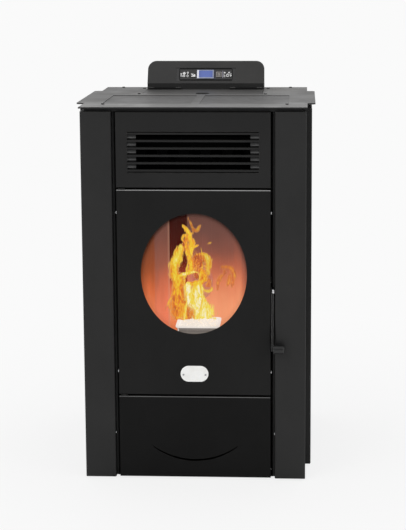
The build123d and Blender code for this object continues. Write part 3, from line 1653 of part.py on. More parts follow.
console_outside = console_solid(0)
console_inside = console_solid(console_sheet)
with BuildPart() as control_housing:
    add(console_outside)
    add(console_inside, mode=Mode.SUBTRACT)
    with BuildSketch(Plane.XY.offset(plate_top)):
        with Locations((0, depth((console_front + console_foot) / 2))):
            Rectangle(
                2 * (console_half - console_floor_rim), console_foot - console_front - 2 * console_floor_rim
            )
    extrude(amount=console_sheet, mode=Mode.SUBTRACT)
    with BuildSketch(slope_plane(console_sheet)):
        Rectangle(bezel_width, bezel_height)
    extrude(amount=-2 * console_sheet - fit, mode=Mode.SUBTRACT)
save(control_housing, "control_housing")

key_places = [(side * x, 0) for side in (-1, 1) for x in (key_inner_x, key_outer_x)]
bezel_bottom = -(bezel_sunk + bezel_thick)
board_top = bezel_bottom - key_flange - key_travel - board_clearance
post_places = [(side * (bezel_width / 2 - board_post), 0) for side in (-1, 1)]

with BuildPart() as control_bezel:
    with BuildSketch(slope_plane(bezel_bottom)):
        Rectangle(bezel_width - 2 * fit, bezel_height - 2 * fit)
    extrude(amount=bezel_thick)
    with BuildSketch(slope_plane(bezel_bottom)):
        Rectangle(bezel_width + 2 * bezel_flange, bezel_height + 2 * bezel_flange)
    extrude(amount=-bezel_bottom - console_sheet)
    with BuildSketch(slope_plane(bezel_bottom)):
        with Locations(*post_places):
            Circle(board_post / 2)
    extrude(amount=board_top - bezel_bottom)
    with BuildSketch(slope_plane(bezel_bottom)):
        Rectangle(screen_width + 2 * fit, screen_height + 2 * fit)
        with Locations(*key_places):
            RectangleRounded(key_size + 2 * key_play, key_size + 2 * key_play, radius=key_corner)
    extrude(amount=bezel_thick, mode=Mode.SUBTRACT)
save(control_bezel, "control_bezel")

with BuildPart() as display_screen:
    with BuildSketch(slope_plane(board_top)):
        Rectangle(screen_width, screen_height)
    extrude(amount=-bezel_sunk - board_top - screen_sunk)
save(display_screen, "display_screen")

key_labels = ("outer_left_key", "inner_left_key", "inner_right_key", "outer_right_key")
for (key_x, key_y), key_label in zip(sorted(key_places), key_labels):
    with BuildPart() as key:
        with BuildSketch(slope_plane(bezel_bottom)):
            with Locations((key_x, key_y)):
                RectangleRounded(key_size, key_size, radius=key_corner)
        extrude(amount=bezel_thick + key_proud)
        fillet(key.faces().sort_by(Axis.Y)[0].edges(), radius=key_proud / 2)
        with BuildSketch(slope_plane(bezel_bottom - hinge_play)):
            with Locations((key_x, key_y)):
                RectangleRounded(key_size + 2 * key_flange, key_size + 2 * key_flange, radius=key_corner)
                RectangleRounded(key_size / 2, key_size / 2, radius=key_play, mode=Mode.SUBTRACT)
        extrude(amount=-key_flange + hinge_play)
        with BuildSketch(slope_plane(bezel_bottom)):
            with Locations((key_x, key_y)):
                Rectangle(key_size / 2 + key_play, key_size / 2 + key_play)
        extrude(amount=-key_flange)
    save(key, key_label)

with BuildPart() as control_board:
    with BuildSketch(slope_plane(board_top)):
        Rectangle(bezel_width - key_play, bezel_height - 2 * key_play)
    extrude(amount=-board_thick)
    with BuildSketch(slope_plane(board_top)):
        with Locations(*key_places):
            Circle(board_post / 2)
    extrude(amount=board_clearance - fit)
save(control_board, "control_board")

# ------------------------------------------------------------------------------------------------
# Power inlet and switch
# ------------------------------------------------------------------------------------------------

with BuildPart() as power_inlet:
    with BuildSketch(upright(case_depth)):
        with Locations((inlet_x, inlet_rise)):
            RectangleRounded(inlet_width, inlet_height, radius=sheet)
        with Locations((inlet_x, switch_rise)):
            RectangleRounded(switch_frame_width, switch_frame_height, radius=sheet)
    extrude(amount=inlet_length)
    with BuildSketch(upright(case_depth)):
        with Locations((inlet_x, inlet_rise)):
            RectangleRounded(inlet_width + 4 * sheet, inlet_height + 4 * sheet, radius=fold)
        with Locations((inlet_x, switch_rise)):
            RectangleRounded(switch_frame_width + 2 * sheet, switch_frame_height + 2 * sheet, radius=sheet)
    extrude(amount=-sheet)
    with BuildSketch(upright(case_depth + sheet)):
        with Locations((inlet_x, inlet_rise)):
            RectangleRounded(socket_width, socket_height, radius=fold)
        with Locations((inlet_x, switch_rise)):
            Rectangle(switch_width + 2 * fit, switch_height + switch_play)
    extrude(amount=socket_reach, mode=Mode.SUBTRACT)
    with BuildSketch(upright(case_depth + sheet - socket_reach)):
        with Locations((inlet_x, inlet_rise)):
            with Locations(
                (0, pin_spacing / 2),
                (-pin_spacing / 2, -pin_spacing / 2),
                (pin_spacing / 2, -pin_spacing / 2),
            ):
                Rectangle(pin_thick, 2 * pin_thick)
    extrude(amount=-pin_reach)
save(power_inlet, "power_inlet")

rocker_pivot = case_depth - rocker_sunk
with BuildPart() as power_switch:
    with BuildSketch(Plane.YZ.offset(inlet_x - switch_width / 2)):
        with Locations(Location((depth(rocker_pivot), switch_rise, 0), (0, 0, switch_swing))):
            rocker_half = switch_height / 2 - rocker_gap
            Polygon(
                (rocker_front + rocker_dish, rocker_half),
                (-rocker_sunk, rocker_half),
                (-rocker_sunk, -rocker_half),
                (rocker_front + rocker_dish, -rocker_half),
                (rocker_front, 0),
                align=None,
            )
    extrude(amount=switch_width)
save(power_switch, "power_switch")

# ------------------------------------------------------------------------------------------------
# Screws of the top plate, the posts and the door
# ------------------------------------------------------------------------------------------------

with BuildPart() as casing_screws:
    with BuildSketch(Plane.XY.offset(plate_top)):
        with Locations(*top_screws):
            Circle(screw_head / 2)
    extrude(amount=screw_head_height)
    fillet(casing_screws.edges().group_by(Axis.Z)[-1], radius=screw_head_round)
    for side in (-1, 1):
        with BuildSketch(Plane.YZ.offset(side * post_inner)):
            with Locations((depth(groove_depth / 2), post_screw_rise)):
                Circle(groove_screw / 2)
        extrude(amount=-side * groove_screw_head)
save(casing_screws, "casing_screws")

with BuildPart() as door_screws:
    for side in (-1, 1):
        for rise in door_screw_rises:
            with BuildSketch(Plane.YZ.offset(side * front_half)):
                with Locations((depth(edge_return / 2), door_low + rise)):
                    Circle(groove_screw / 2)
            extrude(amount=side * groove_screw_head)
save(door_screws, "door_screws")
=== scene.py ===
"""A pellet stove in black sheet steel, with a fire behind its oval window, in a plain pale studio."""

import math
import random

import bmesh
import bpy
from mathutils import Matrix, Vector


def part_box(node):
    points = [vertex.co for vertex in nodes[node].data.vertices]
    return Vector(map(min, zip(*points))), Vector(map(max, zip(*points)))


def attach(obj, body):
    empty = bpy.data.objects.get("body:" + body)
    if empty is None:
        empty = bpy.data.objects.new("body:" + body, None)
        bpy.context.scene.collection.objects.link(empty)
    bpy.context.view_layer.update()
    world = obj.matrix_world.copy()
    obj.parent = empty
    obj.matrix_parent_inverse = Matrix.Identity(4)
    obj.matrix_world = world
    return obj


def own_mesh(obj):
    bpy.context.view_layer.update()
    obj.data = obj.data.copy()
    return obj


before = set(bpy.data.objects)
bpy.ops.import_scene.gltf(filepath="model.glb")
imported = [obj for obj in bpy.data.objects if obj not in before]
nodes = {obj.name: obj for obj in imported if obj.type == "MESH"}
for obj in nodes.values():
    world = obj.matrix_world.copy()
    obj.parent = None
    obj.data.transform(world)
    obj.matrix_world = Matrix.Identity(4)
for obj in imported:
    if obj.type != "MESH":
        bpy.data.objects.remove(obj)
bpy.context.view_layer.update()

MM = 0.001
FRONT = -0.248625            # front faces of the posts and the doors
pot_low, pot_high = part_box("brazier")
plate_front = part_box("top_plate")[0].y
POT_RIM = pot_high.z
random.seed(7)


# ---- Shader helpers ----


def shade(*levels):
    """Screen levels 0 to 255 as linear light."""
    if len(levels) == 1:
        levels = levels * 3
    return tuple((v / 255 / 12.92) if v < 11 else ((v / 255 + 0.055) / 1.055) ** 2.4 for v in levels)


class Graph:
    """One node tree, with short calls to add nodes and join them."""

    def __init__(self, tree):
        self.tree = tree

    def add(self, kind, sockets=None, **settings):
        node = self.tree.nodes.new(kind)
        for name, value in settings.items():
            setattr(node, name, value)
        for name, value in (sockets or {}).items():
            self.put(node.inputs[name], value)
        return node

    def put(self, socket, value):
        """Joins a socket to an output or sets its value; a colour needs no fourth number."""
        if isinstance(value, bpy.types.NodeSocket):
            self.tree.links.new(value, socket)
        elif socket.type == "RGBA":
            socket.default_value = (*value[:3], 1.0)
        else:
            socket.default_value = value

    def fill(self, node, values):
        """Sets inputs by name, where an underscore stands for a space."""
        for name, value in values.items():
            self.put(node.inputs[name.replace("_", " ")], value)

    def math(self, operation, *values, clamp=False):
        node = self.add("ShaderNodeMath", operation=operation, use_clamp=clamp)
        for socket, value in zip(node.inputs, values):
            self.put(socket, value)
        return node.outputs[0]

    def plus(self, first, second):
        return self.math("ADD", first, second)

    def less(self, first, second):
        return self.math("SUBTRACT", first, second)

    def times(self, first, second):
        return self.math("MULTIPLY", first, second)

    def most(self, first, second):
        return self.math("MAXIMUM", first, second)

    def size(self, value):
        return self.math("ABSOLUTE", value)

    def mix(self, factor, first, second, blend="MIX"):
        node = self.add("ShaderNodeMix", {0: factor}, data_type="RGBA", blend_type=blend)
        self.put(node.inputs[6], first)
        self.put(node.inputs[7], second)
        return node.outputs[2]

    def tint(self, colour, tone):
        """A colour made lighter or darker by a factor."""
        grey = self.add("ShaderNodeCombineColor", {0: tone, 1: tone, 2: tone}).outputs[0]
        return self.mix(1.0, colour, grey, "MULTIPLY")

    def fit(self, value, low, high, to_low=0.0, to_high=1.0):
        """A value eased from one range into another, and held at its ends."""
        numbers = {"Value": value, "From Min": low, "From Max": high, "To Min": to_low, "To Max": to_high}
        return self.add("ShaderNodeMapRange", numbers, interpolation_type="SMOOTHSTEP").outputs[0]

    def span(self, value, low, high, edge):
        """1 between two numbers and 0 beyond them, eased over an edge outside them."""
        return self.times(self.fit(value, low - edge, low), self.fit(value, high + edge, high))

    def spot(self, scale=(1.0, 1.0, 1.0), turn=(0.0, 0.0, 0.0)):
        """Object coordinates, turned and stretched."""
        where = self.add("ShaderNodeTexCoord").outputs["Object"]
        return self.add("ShaderNodeMapping", {"Vector": where, "Scale": scale, "Rotation": turn}).outputs[0]

    def place(self):
        """Object coordinates as the outputs X, Y and Z."""
        return self.add("ShaderNodeSeparateXYZ", {"Vector": self.spot()}).outputs

    def noise(self, vector, scale, detail=2.0, roughness=0.5, distortion=0.0):
        names = ("Vector", "Scale", "Detail", "Roughness", "Distortion")
        sockets = dict(zip(names, (vector, scale, detail, roughness, distortion)))
        return self.add("ShaderNodeTexNoise", sockets).outputs[0]

    def ramp(self, value, *stops):
        """Colours along a value: each stop is a place with screen levels, or with a linear colour."""
        node = self.add("ShaderNodeValToRGB", {"Fac": value})
        points = node.color_ramp.elements
        while len(points) < len(stops):
            points.new(1.0)
        for point, (place, *colour) in zip(points, stops):
            point.position = place
            point.color = (*(colour[0] if isinstance(colour[0], tuple) else shade(*colour)), 1.0)
        return node.outputs[0]

    def group(self, tree, **values):
        """Places a shader group, sets its inputs and returns its outputs."""
        node = self.add("ShaderNodeGroup", node_tree=tree)
        self.fill(node, values)
        return node.outputs


class Finish(Graph):
    """The graph of a new material with one Principled shader."""

    def __init__(self, name):
        self.made = bpy.data.materials.new(name)
        self.made.use_nodes = True
        super().__init__(self.made.node_tree)
        self.tree.nodes.clear()
        self.shader = self.add("ShaderNodeBsdfPrincipled")
        self.add("ShaderNodeOutputMaterial", {"Surface": self.shader.outputs[0]})

    def dress(self, bumps=None, **sockets):
        """Sets the shader's sockets, and its bumps as (height, strength, distance); returns the material."""
        self.fill(self.shader, sockets)
        if bumps:
            bump = self.add("ShaderNodeBump", dict(zip(("Height", "Strength", "Distance"), bumps)))
            self.put(self.shader.inputs["Normal"], bump.outputs[0])
        return self.made


FLOAT, COLOUR = "NodeSocketFloat", "NodeSocketColor"
BLACK = (0.0, 0.0, 0.0, 1.0)
SURFACE = ["Color", "Roughness", "Height"]


def new_group(name, inputs, outputs):
    """An empty shader group with its sockets; returns the graph, the input sockets and the output node's."""
    tree = bpy.data.node_groups.new(name, "ShaderNodeTree")
    for label, value in inputs.items():
        kind = COLOUR if value is BLACK else FLOAT
        tree.interface.new_socket(label, in_out="INPUT", socket_type=kind).default_value = value
    for label in outputs:
        kind = COLOUR if label in ("Color", "Glow") else FLOAT
        tree.interface.new_socket(label, in_out="OUTPUT", socket_type=kind)
    graph = Graph(tree)
    return graph, graph.add("NodeGroupInput").outputs, graph.add("NodeGroupOutput").inputs


def worn_edge_group():
    """A mask that is 1 on outer edges, broken up so that the wear is uneven."""
    g, given, out = new_group("worn_edges", {"Width": 0.0006, "Breakup": 60.0}, ["Mask"])
    bevel = g.add("ShaderNodeBevel", {"Radius": given["Width"]}, samples=4)
    flat = g.add("ShaderNodeNewGeometry").outputs["Normal"]
    same = g.add("ShaderNodeVectorMath", {0: bevel.outputs[0], 1: flat}, operation="DOT_PRODUCT")
    edge = g.fit(same.outputs["Value"], 0.985, 0.86)
    patches = g.fit(g.noise(g.spot(), given["Breakup"], 3.0), 0.35, 0.6)
    g.put(out["Mask"], g.times(edge, patches))
    return g.tree


def settled_dust_group():
    """A faint dust film: more on faces that look up, less on faces that look down."""
    g, given, out = new_group("settled_dust", {"Amount": 0.1, "Patch Scale": 9.0}, ["Mask"])
    normal = g.add("ShaderNodeSeparateXYZ", {"Vector": g.add("ShaderNodeNewGeometry").outputs["Normal"]})
    up = g.fit(normal.outputs["Z"], -0.2, 1.0, 0.12, 1.0)
    cloud = g.fit(g.noise(g.spot(), given["Patch Scale"], 5.0, 0.62), 0.3, 0.75, 0.25, 1.0)
    g.put(out["Mask"], g.times(g.times(up, cloud), given["Amount"]))
    return g.tree


def coat_group():
    """Powder coat: a fine orange-peel skin, a slow change of tone, worn edges and a little dust."""
    g, given, out = new_group(
        "powder_coat",
        {"Paint": BLACK, "Bare": BLACK, "Grain": 700.0, "Sheen Loss": 0.5, "Wear": 0.3, "Dust": 0.1},
        SURFACE,
    )
    wear = g.group(WORN_EDGES)[0]
    dust = g.group(SETTLED_DUST, Amount=given["Dust"])[0]
    tone = g.fit(g.noise(g.spot(), 5.0, 4.0, 0.6), 0.25, 0.75, 0.86, 1.14)
    dusted = g.mix(dust, g.tint(given["Paint"], tone), shade(150, 146, 140))
    g.put(out["Color"], g.mix(g.times(wear, given["Wear"]), dusted, given["Bare"]))
    smear = g.fit(g.noise(g.spot((1.0, 1.0, 0.4)), 14.0, 5.0, 0.6), 0.3, 0.7, -0.06, 0.07)
    g.put(out["Roughness"], g.plus(g.plus(given["Sheen Loss"], smear), g.times(dust, 0.5)))
    fine = g.noise(g.spot(), given["Grain"], 2.0, 0.55)
    broad = g.noise(g.spot(), g.times(given["Grain"], 0.3), 1.0)
    g.put(out["Height"], g.plus(g.times(fine, 0.6), g.times(broad, 0.4)))
    return g.tree


def drawn_metal_group():
    """Rolled or drawn sheet: fine lines along one axis, with stains."""
    g, given, out = new_group(
        "drawn_metal",
        {"Metal": BLACK, "Stain": BLACK, "Sheen Loss": 0.35, "Stained": 0.3},
        SURFACE,
    )
    lines = g.noise(g.spot((6.0, 220.0, 220.0)), 4.0, 4.0, 0.6)
    clouds = g.noise(g.spot(), 11.0, 6.0, 0.65)
    body = g.tint(given["Metal"], g.fit(lines, 0.25, 0.75, 0.85, 1.12))
    stain = g.times(g.fit(clouds, 0.42, 0.72), given["Stained"])
    g.put(out["Color"], g.mix(stain, body, given["Stain"]))
    spread = g.plus(g.fit(lines, 0.3, 0.7, -0.07, 0.09), g.times(stain, 0.35))
    g.put(out["Roughness"], g.plus(given["Sheen Loss"], spread))
    g.put(out["Height"], g.plus(g.times(lines, 0.7), g.times(clouds, 0.3)))
    return g.tree


def fired_board_group():
    """Boards round the fire: how high a point is with the lick of the flames, and their pressed grain."""
    g, given, out = new_group("fired_board", {"Grain": 240.0}, ["Climb", "Height"])
    cloud = g.noise(g.spot((1.0, 1.0, 0.4)), 15.0, 5.0, 0.6)
    climb = g.fit(g.place()["Z"], 0.30, 0.60)
    g.put(out["Climb"], g.math("ADD", climb, g.fit(cloud, 0.3, 0.7, -0.05, 0.05), clamp=True))
    g.put(out["Height"], g.plus(g.noise(g.spot(), given["Grain"], 4.0, 0.6), g.times(cloud, 0.4)))
    return g.tree


def flame_group():
    """Fire on a curtain's own map: U is how deep inside a tongue a point is, V how hot the tongue burns."""
    g, given, out = new_group("flame_body", {"Body": 0.9, "Ragged": 0.4}, ["Glow", "Alpha"])
    flow = g.add("ShaderNodeSeparateXYZ", {"Vector": g.add("ShaderNodeTexCoord").outputs["UV"]}).outputs
    depth = g.math("MULTIPLY_ADD", flow["X"], 2.0, -1.0)
    coarse = g.noise(g.spot((1.0, 1.0, 0.55)), 85.0, 4.0, 0.62, 0.9)
    strands = g.noise(g.spot((1.0, 1.0, 0.3), (0.0, 0.25, 0.0)), 240.0, 3.0, 0.6, 1.1)
    torn = g.times(g.fit(coarse, 0.25, 0.75, -1.0, 1.0), given["Ragged"])
    inside = g.plus(depth, g.plus(torn, g.fit(strands, 0.28, 0.72, -0.16, 0.16)))
    warmth = g.math("MULTIPLY_ADD", flow["Y"], 0.62, g.times(g.math("MINIMUM", inside, 1.0), 0.28))
    body = g.ramp(
        g.plus(warmth, g.fit(strands, 0.3, 0.7, -0.13, 0.15)),
        (0.0, 150, 62, 30), (0.16, 212, 106, 44), (0.32, 238, 150, 54), (0.50, 243, 198, 46),
        (0.70, 246, 230, 88), (0.92, 255, 250, 214),
    )
    rim = g.fit(g.size(g.less(inside, 0.17)), 0.13, 0.02, 0.0, 0.55)
    g.put(out["Glow"], g.mix(rim, body, shade(252, 214, 130)))
    g.put(out["Alpha"], g.times(g.fit(inside, -0.04, 0.26), given["Body"]))
    return g.tree


WORN_EDGES = worn_edge_group()
SETTLED_DUST = settled_dust_group()
POWDER_COAT = coat_group()
DRAWN_METAL = drawn_metal_group()
FIRED_BOARD = fired_board_group()
FLAME_BODY = flame_group()
PRIMER = shade(120, 116, 112)


def painted(name, paint, grain, loss, wear, dust, specular=0.5, bump=(0.35, 0.00025), bare=PRIMER, look=None):
    """Painted steel; a look changes its colour and roughness from place to place."""
    g = Finish(name)
    coat = g.group(POWDER_COAT, Paint=paint, Bare=bare, Grain=grain, Sheen_Loss=loss, Wear=wear, Dust=dust)
    colour, gloss = coat["Color"], coat["Roughness"]
    if look:
        colour, gloss = look(g, g.place(), colour, gloss)
    return g.dress((coat["Height"], *bump), Base_Color=colour, Roughness=gloss, Specular_IOR_Level=specular)


def metal(name, tone, stain, loss=0.35, stained=0.3, metallic=1.0, bump=(0.25, 0.0002), look=None):
    """Drawn metal; a look gives more sockets of the shader, from its graph and the plain colour."""
    g = Finish(name)
    sheet = g.group(DRAWN_METAL, Metal=tone, Stain=stain, Sheen_Loss=loss, Stained=stained)
    sockets = {"Base_Color": sheet["Color"], "Roughness": sheet["Roughness"], "Metallic": metallic}
    sockets.update(look(g, sheet["Color"]) if look else {})
    return g.dress((sheet["Height"], *bump), **sockets)


def fired_board(name, stops, look=None):
    """Board with painted firelight: its glow changes with height; a look changes it from place to place."""
    g = Finish(name)
    face = g.group(FIRED_BOARD)
    glow = g.ramp(face["Climb"], *stops)
    if look:
        glow = look(g, face["Climb"], glow)
    return g.dress(
        (face["Height"], 0.5, 0.0006), Emission_Color=glow, Base_Color=g.mix(0.75, glow, BLACK),
        Emission_Strength=0.92, Roughness=0.88, Specular_IOR_Level=0.05,
    )


# ---- Finishes, one for each material slot of the record ----

# Painted firelight on the boards round the fire, by height from the floor of the firebox; DARK_GLOW is
# painted shade at the left of the fireback.
BRIGHT_GLOW = [
    (0.0, 238, 160, 120), (0.2, 218, 132, 97), (0.36, 182, 104, 80), (0.52, 138, 86, 74), (0.72, 114, 77, 70),
    (1.0, 92, 66, 60),
]
SIDE_GLOW = [
    (0.0, 236, 140, 98), (0.2, 208, 108, 66), (0.42, 158, 82, 48), (0.7, 124, 68, 44), (1.0, 94, 56, 40),
]
SLANT_GLOW = [
    (0.0, 228, 128, 96), (0.2, 198, 110, 82), (0.42, 152, 92, 75), (0.7, 124, 80, 70), (1.0, 96, 70, 62),
]
DARK_GLOW = [
    (0.0, 232, 138, 92), (0.1, 218, 114, 76), (0.19, 158, 62, 42), (0.36, 96, 34, 22), (0.6, 70, 22, 15),
    (1.0, 44, 13, 10),
]
PAINTS = {
    "black_powder": (shade(32), 620.0, 0.52, 0.25, 0.04, 0.3),
    "grille_paint": (shade(22), 620.0, 0.5, 0.25, 0.04, 0.3),
    # Painted shade: the door wears the posts' black coat, made darker.
    "door_paint": (shade(15), 560.0, 0.55, 0.25, 0.03, 0.22),
    "top_plate_paint": (shade(46), 560.0, 0.34, 0.3, 0.14),
    "console_paint": (shade(34), 620.0, 0.46, 0.25, 0.08, 0.38),
    "inner_steel": (shade(46, 44, 42), 300.0, 0.75, 0.4, 0.08, 0.3),
    "cast_iron": (shade(30), 210.0, 0.68, 0.25, 0.08, 0.5, (0.35, 0.0007)),
    "latch_paint": (shade(22), 700.0, 0.42, 0.8, 0.03, 0.4, (0.35, 0.00025), shade(190)),
}
METALS = {
    "galvanised": (shade(176, 180, 184), shade(150, 154, 158), 0.42, 0.45),
    "screw_steel": (shade(232, 232, 234), shade(180, 178, 174), 0.34, 0.2),
    "motor_metal": (shade(184, 184, 186), shade(120, 118, 116), 0.45, 0.4),
    "fan_steel": (shade(170, 171, 174), shade(112, 104, 96), 0.36, 0.4),
}
PLASTICS = {
    "knob_plastic": (shade(16), 0.42, 900.0, 0.00008, 0.1),
    "console_plastic": (shade(34), 0.32, 900.0, 0.00008, 0.3),
    "key_plastic": (shade(46), 0.46),
    "inlet_plastic": (shade(24), 0.5, 500.0, 0.00015),
    "foot_rubber": (shade(30), 0.8, 260.0, 0.0004),
}
WINDOW_HALF_WIDTH, WINDOW_HALF_HEIGHT, WINDOW_MIDDLE = 0.1115, 0.129, 0.448
BLADE_TOP, BLADE_PITCH = 0.74445, 0.0155
FIELD_INNER, FIELD_OUTER, FIELD_FRONT, FIELD_BACK = 0.009, 0.197, FRONT + 0.072, FRONT + 0.259
FIELD_EDGE = 0.0004


def plastic(name, tone, loss, grain=900.0, bump=0.00008, coat=0.0):
    """Moulded plastic: a fine spark-eroded grain and a faint change of gloss."""
    g = Finish(name)
    cloud = g.noise(g.spot(), 30.0, 4.0, 0.6)
    return g.dress(
        (g.noise(g.spot(), grain, 2.0), 0.3, bump), Coat_Weight=coat, Coat_Roughness=0.08,
        Base_Color=g.tint(tone, g.fit(cloud, 0.25, 0.75, 0.88, 1.12)),
        Roughness=g.fit(cloud, 0.3, 0.7, loss - 0.05, loss + 0.06),
    )


def braided(name):
    """Glass-fibre rope: two crossing sets of strands, darkened by smoke."""
    g = Finish(name)
    wave = {"Scale": 130.0, "Distortion": 1.2, "Detail": 2.0, "Detail Scale": 4.0}
    first, second = (
        g.add("ShaderNodeTexWave", {"Vector": g.spot(turn=(0.0, turn, 0.0)), **wave}).outputs["Fac"]
        for turn in (0.8, -0.8)
    )
    weave = g.most(first, second)
    colour = g.ramp(weave, (0.1, 52, 50, 47), (0.9, 142, 138, 130))
    return g.dress((weave, 0.8, 0.0009), Base_Color=colour, Roughness=0.95, Sheen_Weight=0.3)


def fire_glass(name):
    """Clear glass ceramic, a little smoked, with painted shade at the rim of the window, darker towards the
    top.
    """
    g = Finish(name)
    haze = g.noise(g.spot((1.0, 1.0, 0.5)), 14.0, 5.0, 0.6)
    clear = g.ramp(haze, (0.3, (0.98, 0.95, 0.92)), (0.8, (0.9, 0.85, 0.8)))
    place = g.place()
    across = g.math("DIVIDE", place["X"], WINDOW_HALF_WIDTH)
    up = g.math("DIVIDE", g.less(place["Z"], WINDOW_MIDDLE), WINDOW_HALF_HEIGHT)
    out = g.math("SQRT", g.plus(g.times(across, across), g.times(up, up)))
    rim = g.math("POWER", g.fit(out, 0.89, 1.01), 1.5)
    # Painted shade at the rim of the window, stronger towards the top.
    painted_rim_shade = g.times(rim, g.fit(up, -0.5, 0.8, 0.12, 0.95))
    return g.dress(
        Base_Color=g.mix(painted_rim_shade, clear, shade(40, 30, 26)), Roughness=g.fit(haze, 0.3, 0.75, 0.0, 0.035),
        Transmission_Weight=1.0, IOR=1.12,
    )


def enamel(name):
    """Smooth white enamel with a slow change of gloss."""
    g = Finish(name)
    cloud = g.noise(g.spot(), 60.0, 4.0, 0.6)
    return g.dress(
        (g.noise(g.spot(), 900.0, 2.0), 0.2, 0.0001),
        Base_Color=g.ramp(cloud, (0.3, 250, 250, 249), (0.75, 236, 235, 231)),
        Roughness=g.fit(cloud, 0.3, 0.7, 0.22, 0.36),
    )


def lit_screen(name):
    """A backlit panel: the light fades to the edges and the cell rows show faintly."""
    g = Finish(name)
    place = g.place()
    rows, columns = (g.math("FRACT", g.times(place[axis], 1100.0)) for axis in "ZX")
    cells = g.times(g.fit(rows, 0.0, 0.25, 0.85, 1.0), g.fit(columns, 0.0, 0.25, 0.85, 1.0))
    light = g.times(cells, g.fit(g.size(place["X"]), 0.021, 0.006, 0.75, 1.0))
    return g.dress(
        Emission_Color=g.tint(shade(94, 112, 174), light), Emission_Strength=0.85,
        Base_Color=g.ramp(light, (0.0, 20, 22, 40), (1.0, 34, 40, 84)), Roughness=0.18,
    )


def circuit(name):
    """Solder-masked board with copper runs showing through."""
    g = Finish(name)
    sockets = {"Vector": g.spot(turn=(1.1, 0.0, 0.0)), "Scale": 90.0, "Mortar Size": 0.03}
    runs = g.add("ShaderNodeTexBrick", sockets).outputs["Fac"]
    colour = g.mix(runs, shade(24, 74, 44), shade(60, 116, 70))
    return g.dress((runs, 0.4, 0.0002), Base_Color=colour, Roughness=0.4)


def fireback_glow(g, climb, lit):
    """The back of the fire: painted shade at its left, with a sharp edge, and painted firelight at its right.
    """
    return g.mix(g.fit(g.place()["X"], -0.0330, -0.0318), g.ramp(climb, *DARK_GLOW), lit)


def left_glow(g, climb, side):
    """The liner at the viewer's left, with painted firelight: brown near the door, pink behind, with a
    painted highlight along a seam at the back.
    """
    deep = g.place()["Y"]
    slant = g.mix(g.fit(deep, FRONT + 0.138, FRONT + 0.142), side, g.ramp(climb, *SLANT_GLOW))
    return g.mix(g.fit(deep, FRONT + 0.220, FRONT + 0.234, 0.0, 0.38), slant, shade(196, 156, 132))


def pot_painted_glow(g, plain):
    """Painted light on the pot: a painted highlight glows white round its mouth, its brushed grey front has a
    painted glow, and the fold has a line of painted shade.
    """
    place = g.place()
    lip = g.fit(place["Z"], POT_RIM - 0.0042, POT_RIM - 0.0030)
    inner = g.times(
        g.fit(place["Y"], pot_low.y + 0.0046, pot_low.y + 0.0050),
        g.fit(g.size(place["X"]), pot_high.x - 0.0046, pot_high.x - 0.0050),
    )
    heat = g.most(lip, g.times(inner, g.fit(place["Z"], POT_RIM - 0.050, POT_RIM - 0.020)))
    fold = g.fit(g.size(g.less(place["Z"], POT_RIM - 0.011)), 0.0012, 0.0004)
    front = g.mix(fold, shade(134, 130, 127), shade(104, 100, 98))
    return {"Emission_Color": g.mix(heat, front, shade(255, 252, 249)), "Emission_Strength": 0.85}


def chute_painted_glow(g, plain):
    """Painted firelight: the pellet chute glows rosy where it opens into the firebox."""
    near = g.fit(g.place()["Y"], FRONT + 0.34, FRONT + 0.245)
    return {"Emission_Color": g.mix(near, BLACK, shade(190, 108, 94)), "Emission_Strength": 0.9}


def dark_on_top(g, plain):
    """Screws of the casing: blackened on the top plate, bright zinc on the posts and at the back."""
    return {"Base_Color": g.mix(g.fit(g.place()["Z"], 0.790, 0.792), plain, shade(38))}


def louvre_painted_bands(g, place, colour, gloss):
    """The grille's closed ends are painted with light and shade in bands between the blades: painted shadow
    under each blade, painted highlight between, lighter towards the outer end.
    """
    across = g.size(place["X"])
    pale = g.times(g.fit(across, 0.1185, 0.1195), g.fit(place["Y"], FRONT + 0.0015, FRONT + 0.004))
    below = g.math("FRACT", g.math("DIVIDE", g.less(BLADE_TOP, place["Z"]), BLADE_PITCH))
    bands = g.ramp(below, (0.25, 8), (0.32, 66), (0.48, 72), (0.54, 116), (0.64, 104), (0.69, 8))
    return g.mix(pale, colour, g.tint(bands, g.fit(across, 0.119, 0.137, 0.55, 1.0))), gloss


def plate_fields(g, place, colour, gloss):
    """Two brushed fields of the top plate, in front of the console, look a little darker and duller; the
    plate's front edge takes painted shade.
    """
    across, deep = g.size(place["X"]), place["Y"]
    in_x = g.span(across, FIELD_INNER, FIELD_OUTER, FIELD_EDGE)
    field = g.times(in_x, g.span(deep, FIELD_FRONT, FIELD_BACK, FIELD_EDGE))
    brushed = g.noise(g.spot((3.0, 260.0, 1.0)), 6.0, 3.0, 0.6)
    darker = g.times(field, g.fit(brushed, 0.3, 0.7, 0.35, 0.75))
    # Painted shade on the plate's front edge.
    edge = g.fit(deep, plate_front + 0.0012, plate_front + 0.0006)
    duller = g.most(g.fit(deep, FIELD_FRONT - 0.030, FIELD_FRONT + 0.060, 0.0, 0.15), g.times(field, 0.12))
    return g.mix(g.most(darker, edge), colour, shade(16)), g.plus(gloss, duller)


def painted_shade(mask):
    """Painted shade: a look for paint that is made matt and nearly black where the mask says that it lies
    deep in a gap.
    """

    def look(g, place, colour, gloss):
        deep = mask(g, place)
        return g.mix(deep, colour, shade(5)), g.most(gloss, g.times(deep, 0.95))

    return look


def beside_groove(g, place):
    """The part of a side casing that lies in the groove beside the door, which takes painted shade."""
    return g.times(g.fit(g.size(place["X"]), 0.1662, 0.1658), g.fit(place["Y"], FRONT + 0.003, FRONT + 0.005))


def under_lid(g, place):
    """The knuckles of the lid, above the plate, which take painted shade."""
    return g.fit(place["Z"], 0.8003, 0.8009)


def drawer_wall(g, place):
    """The front wall of the drawer's box, which takes painted shade behind the grip slot."""
    return g.fit(place["Y"], FRONT + 0.0200, FRONT + 0.0196)


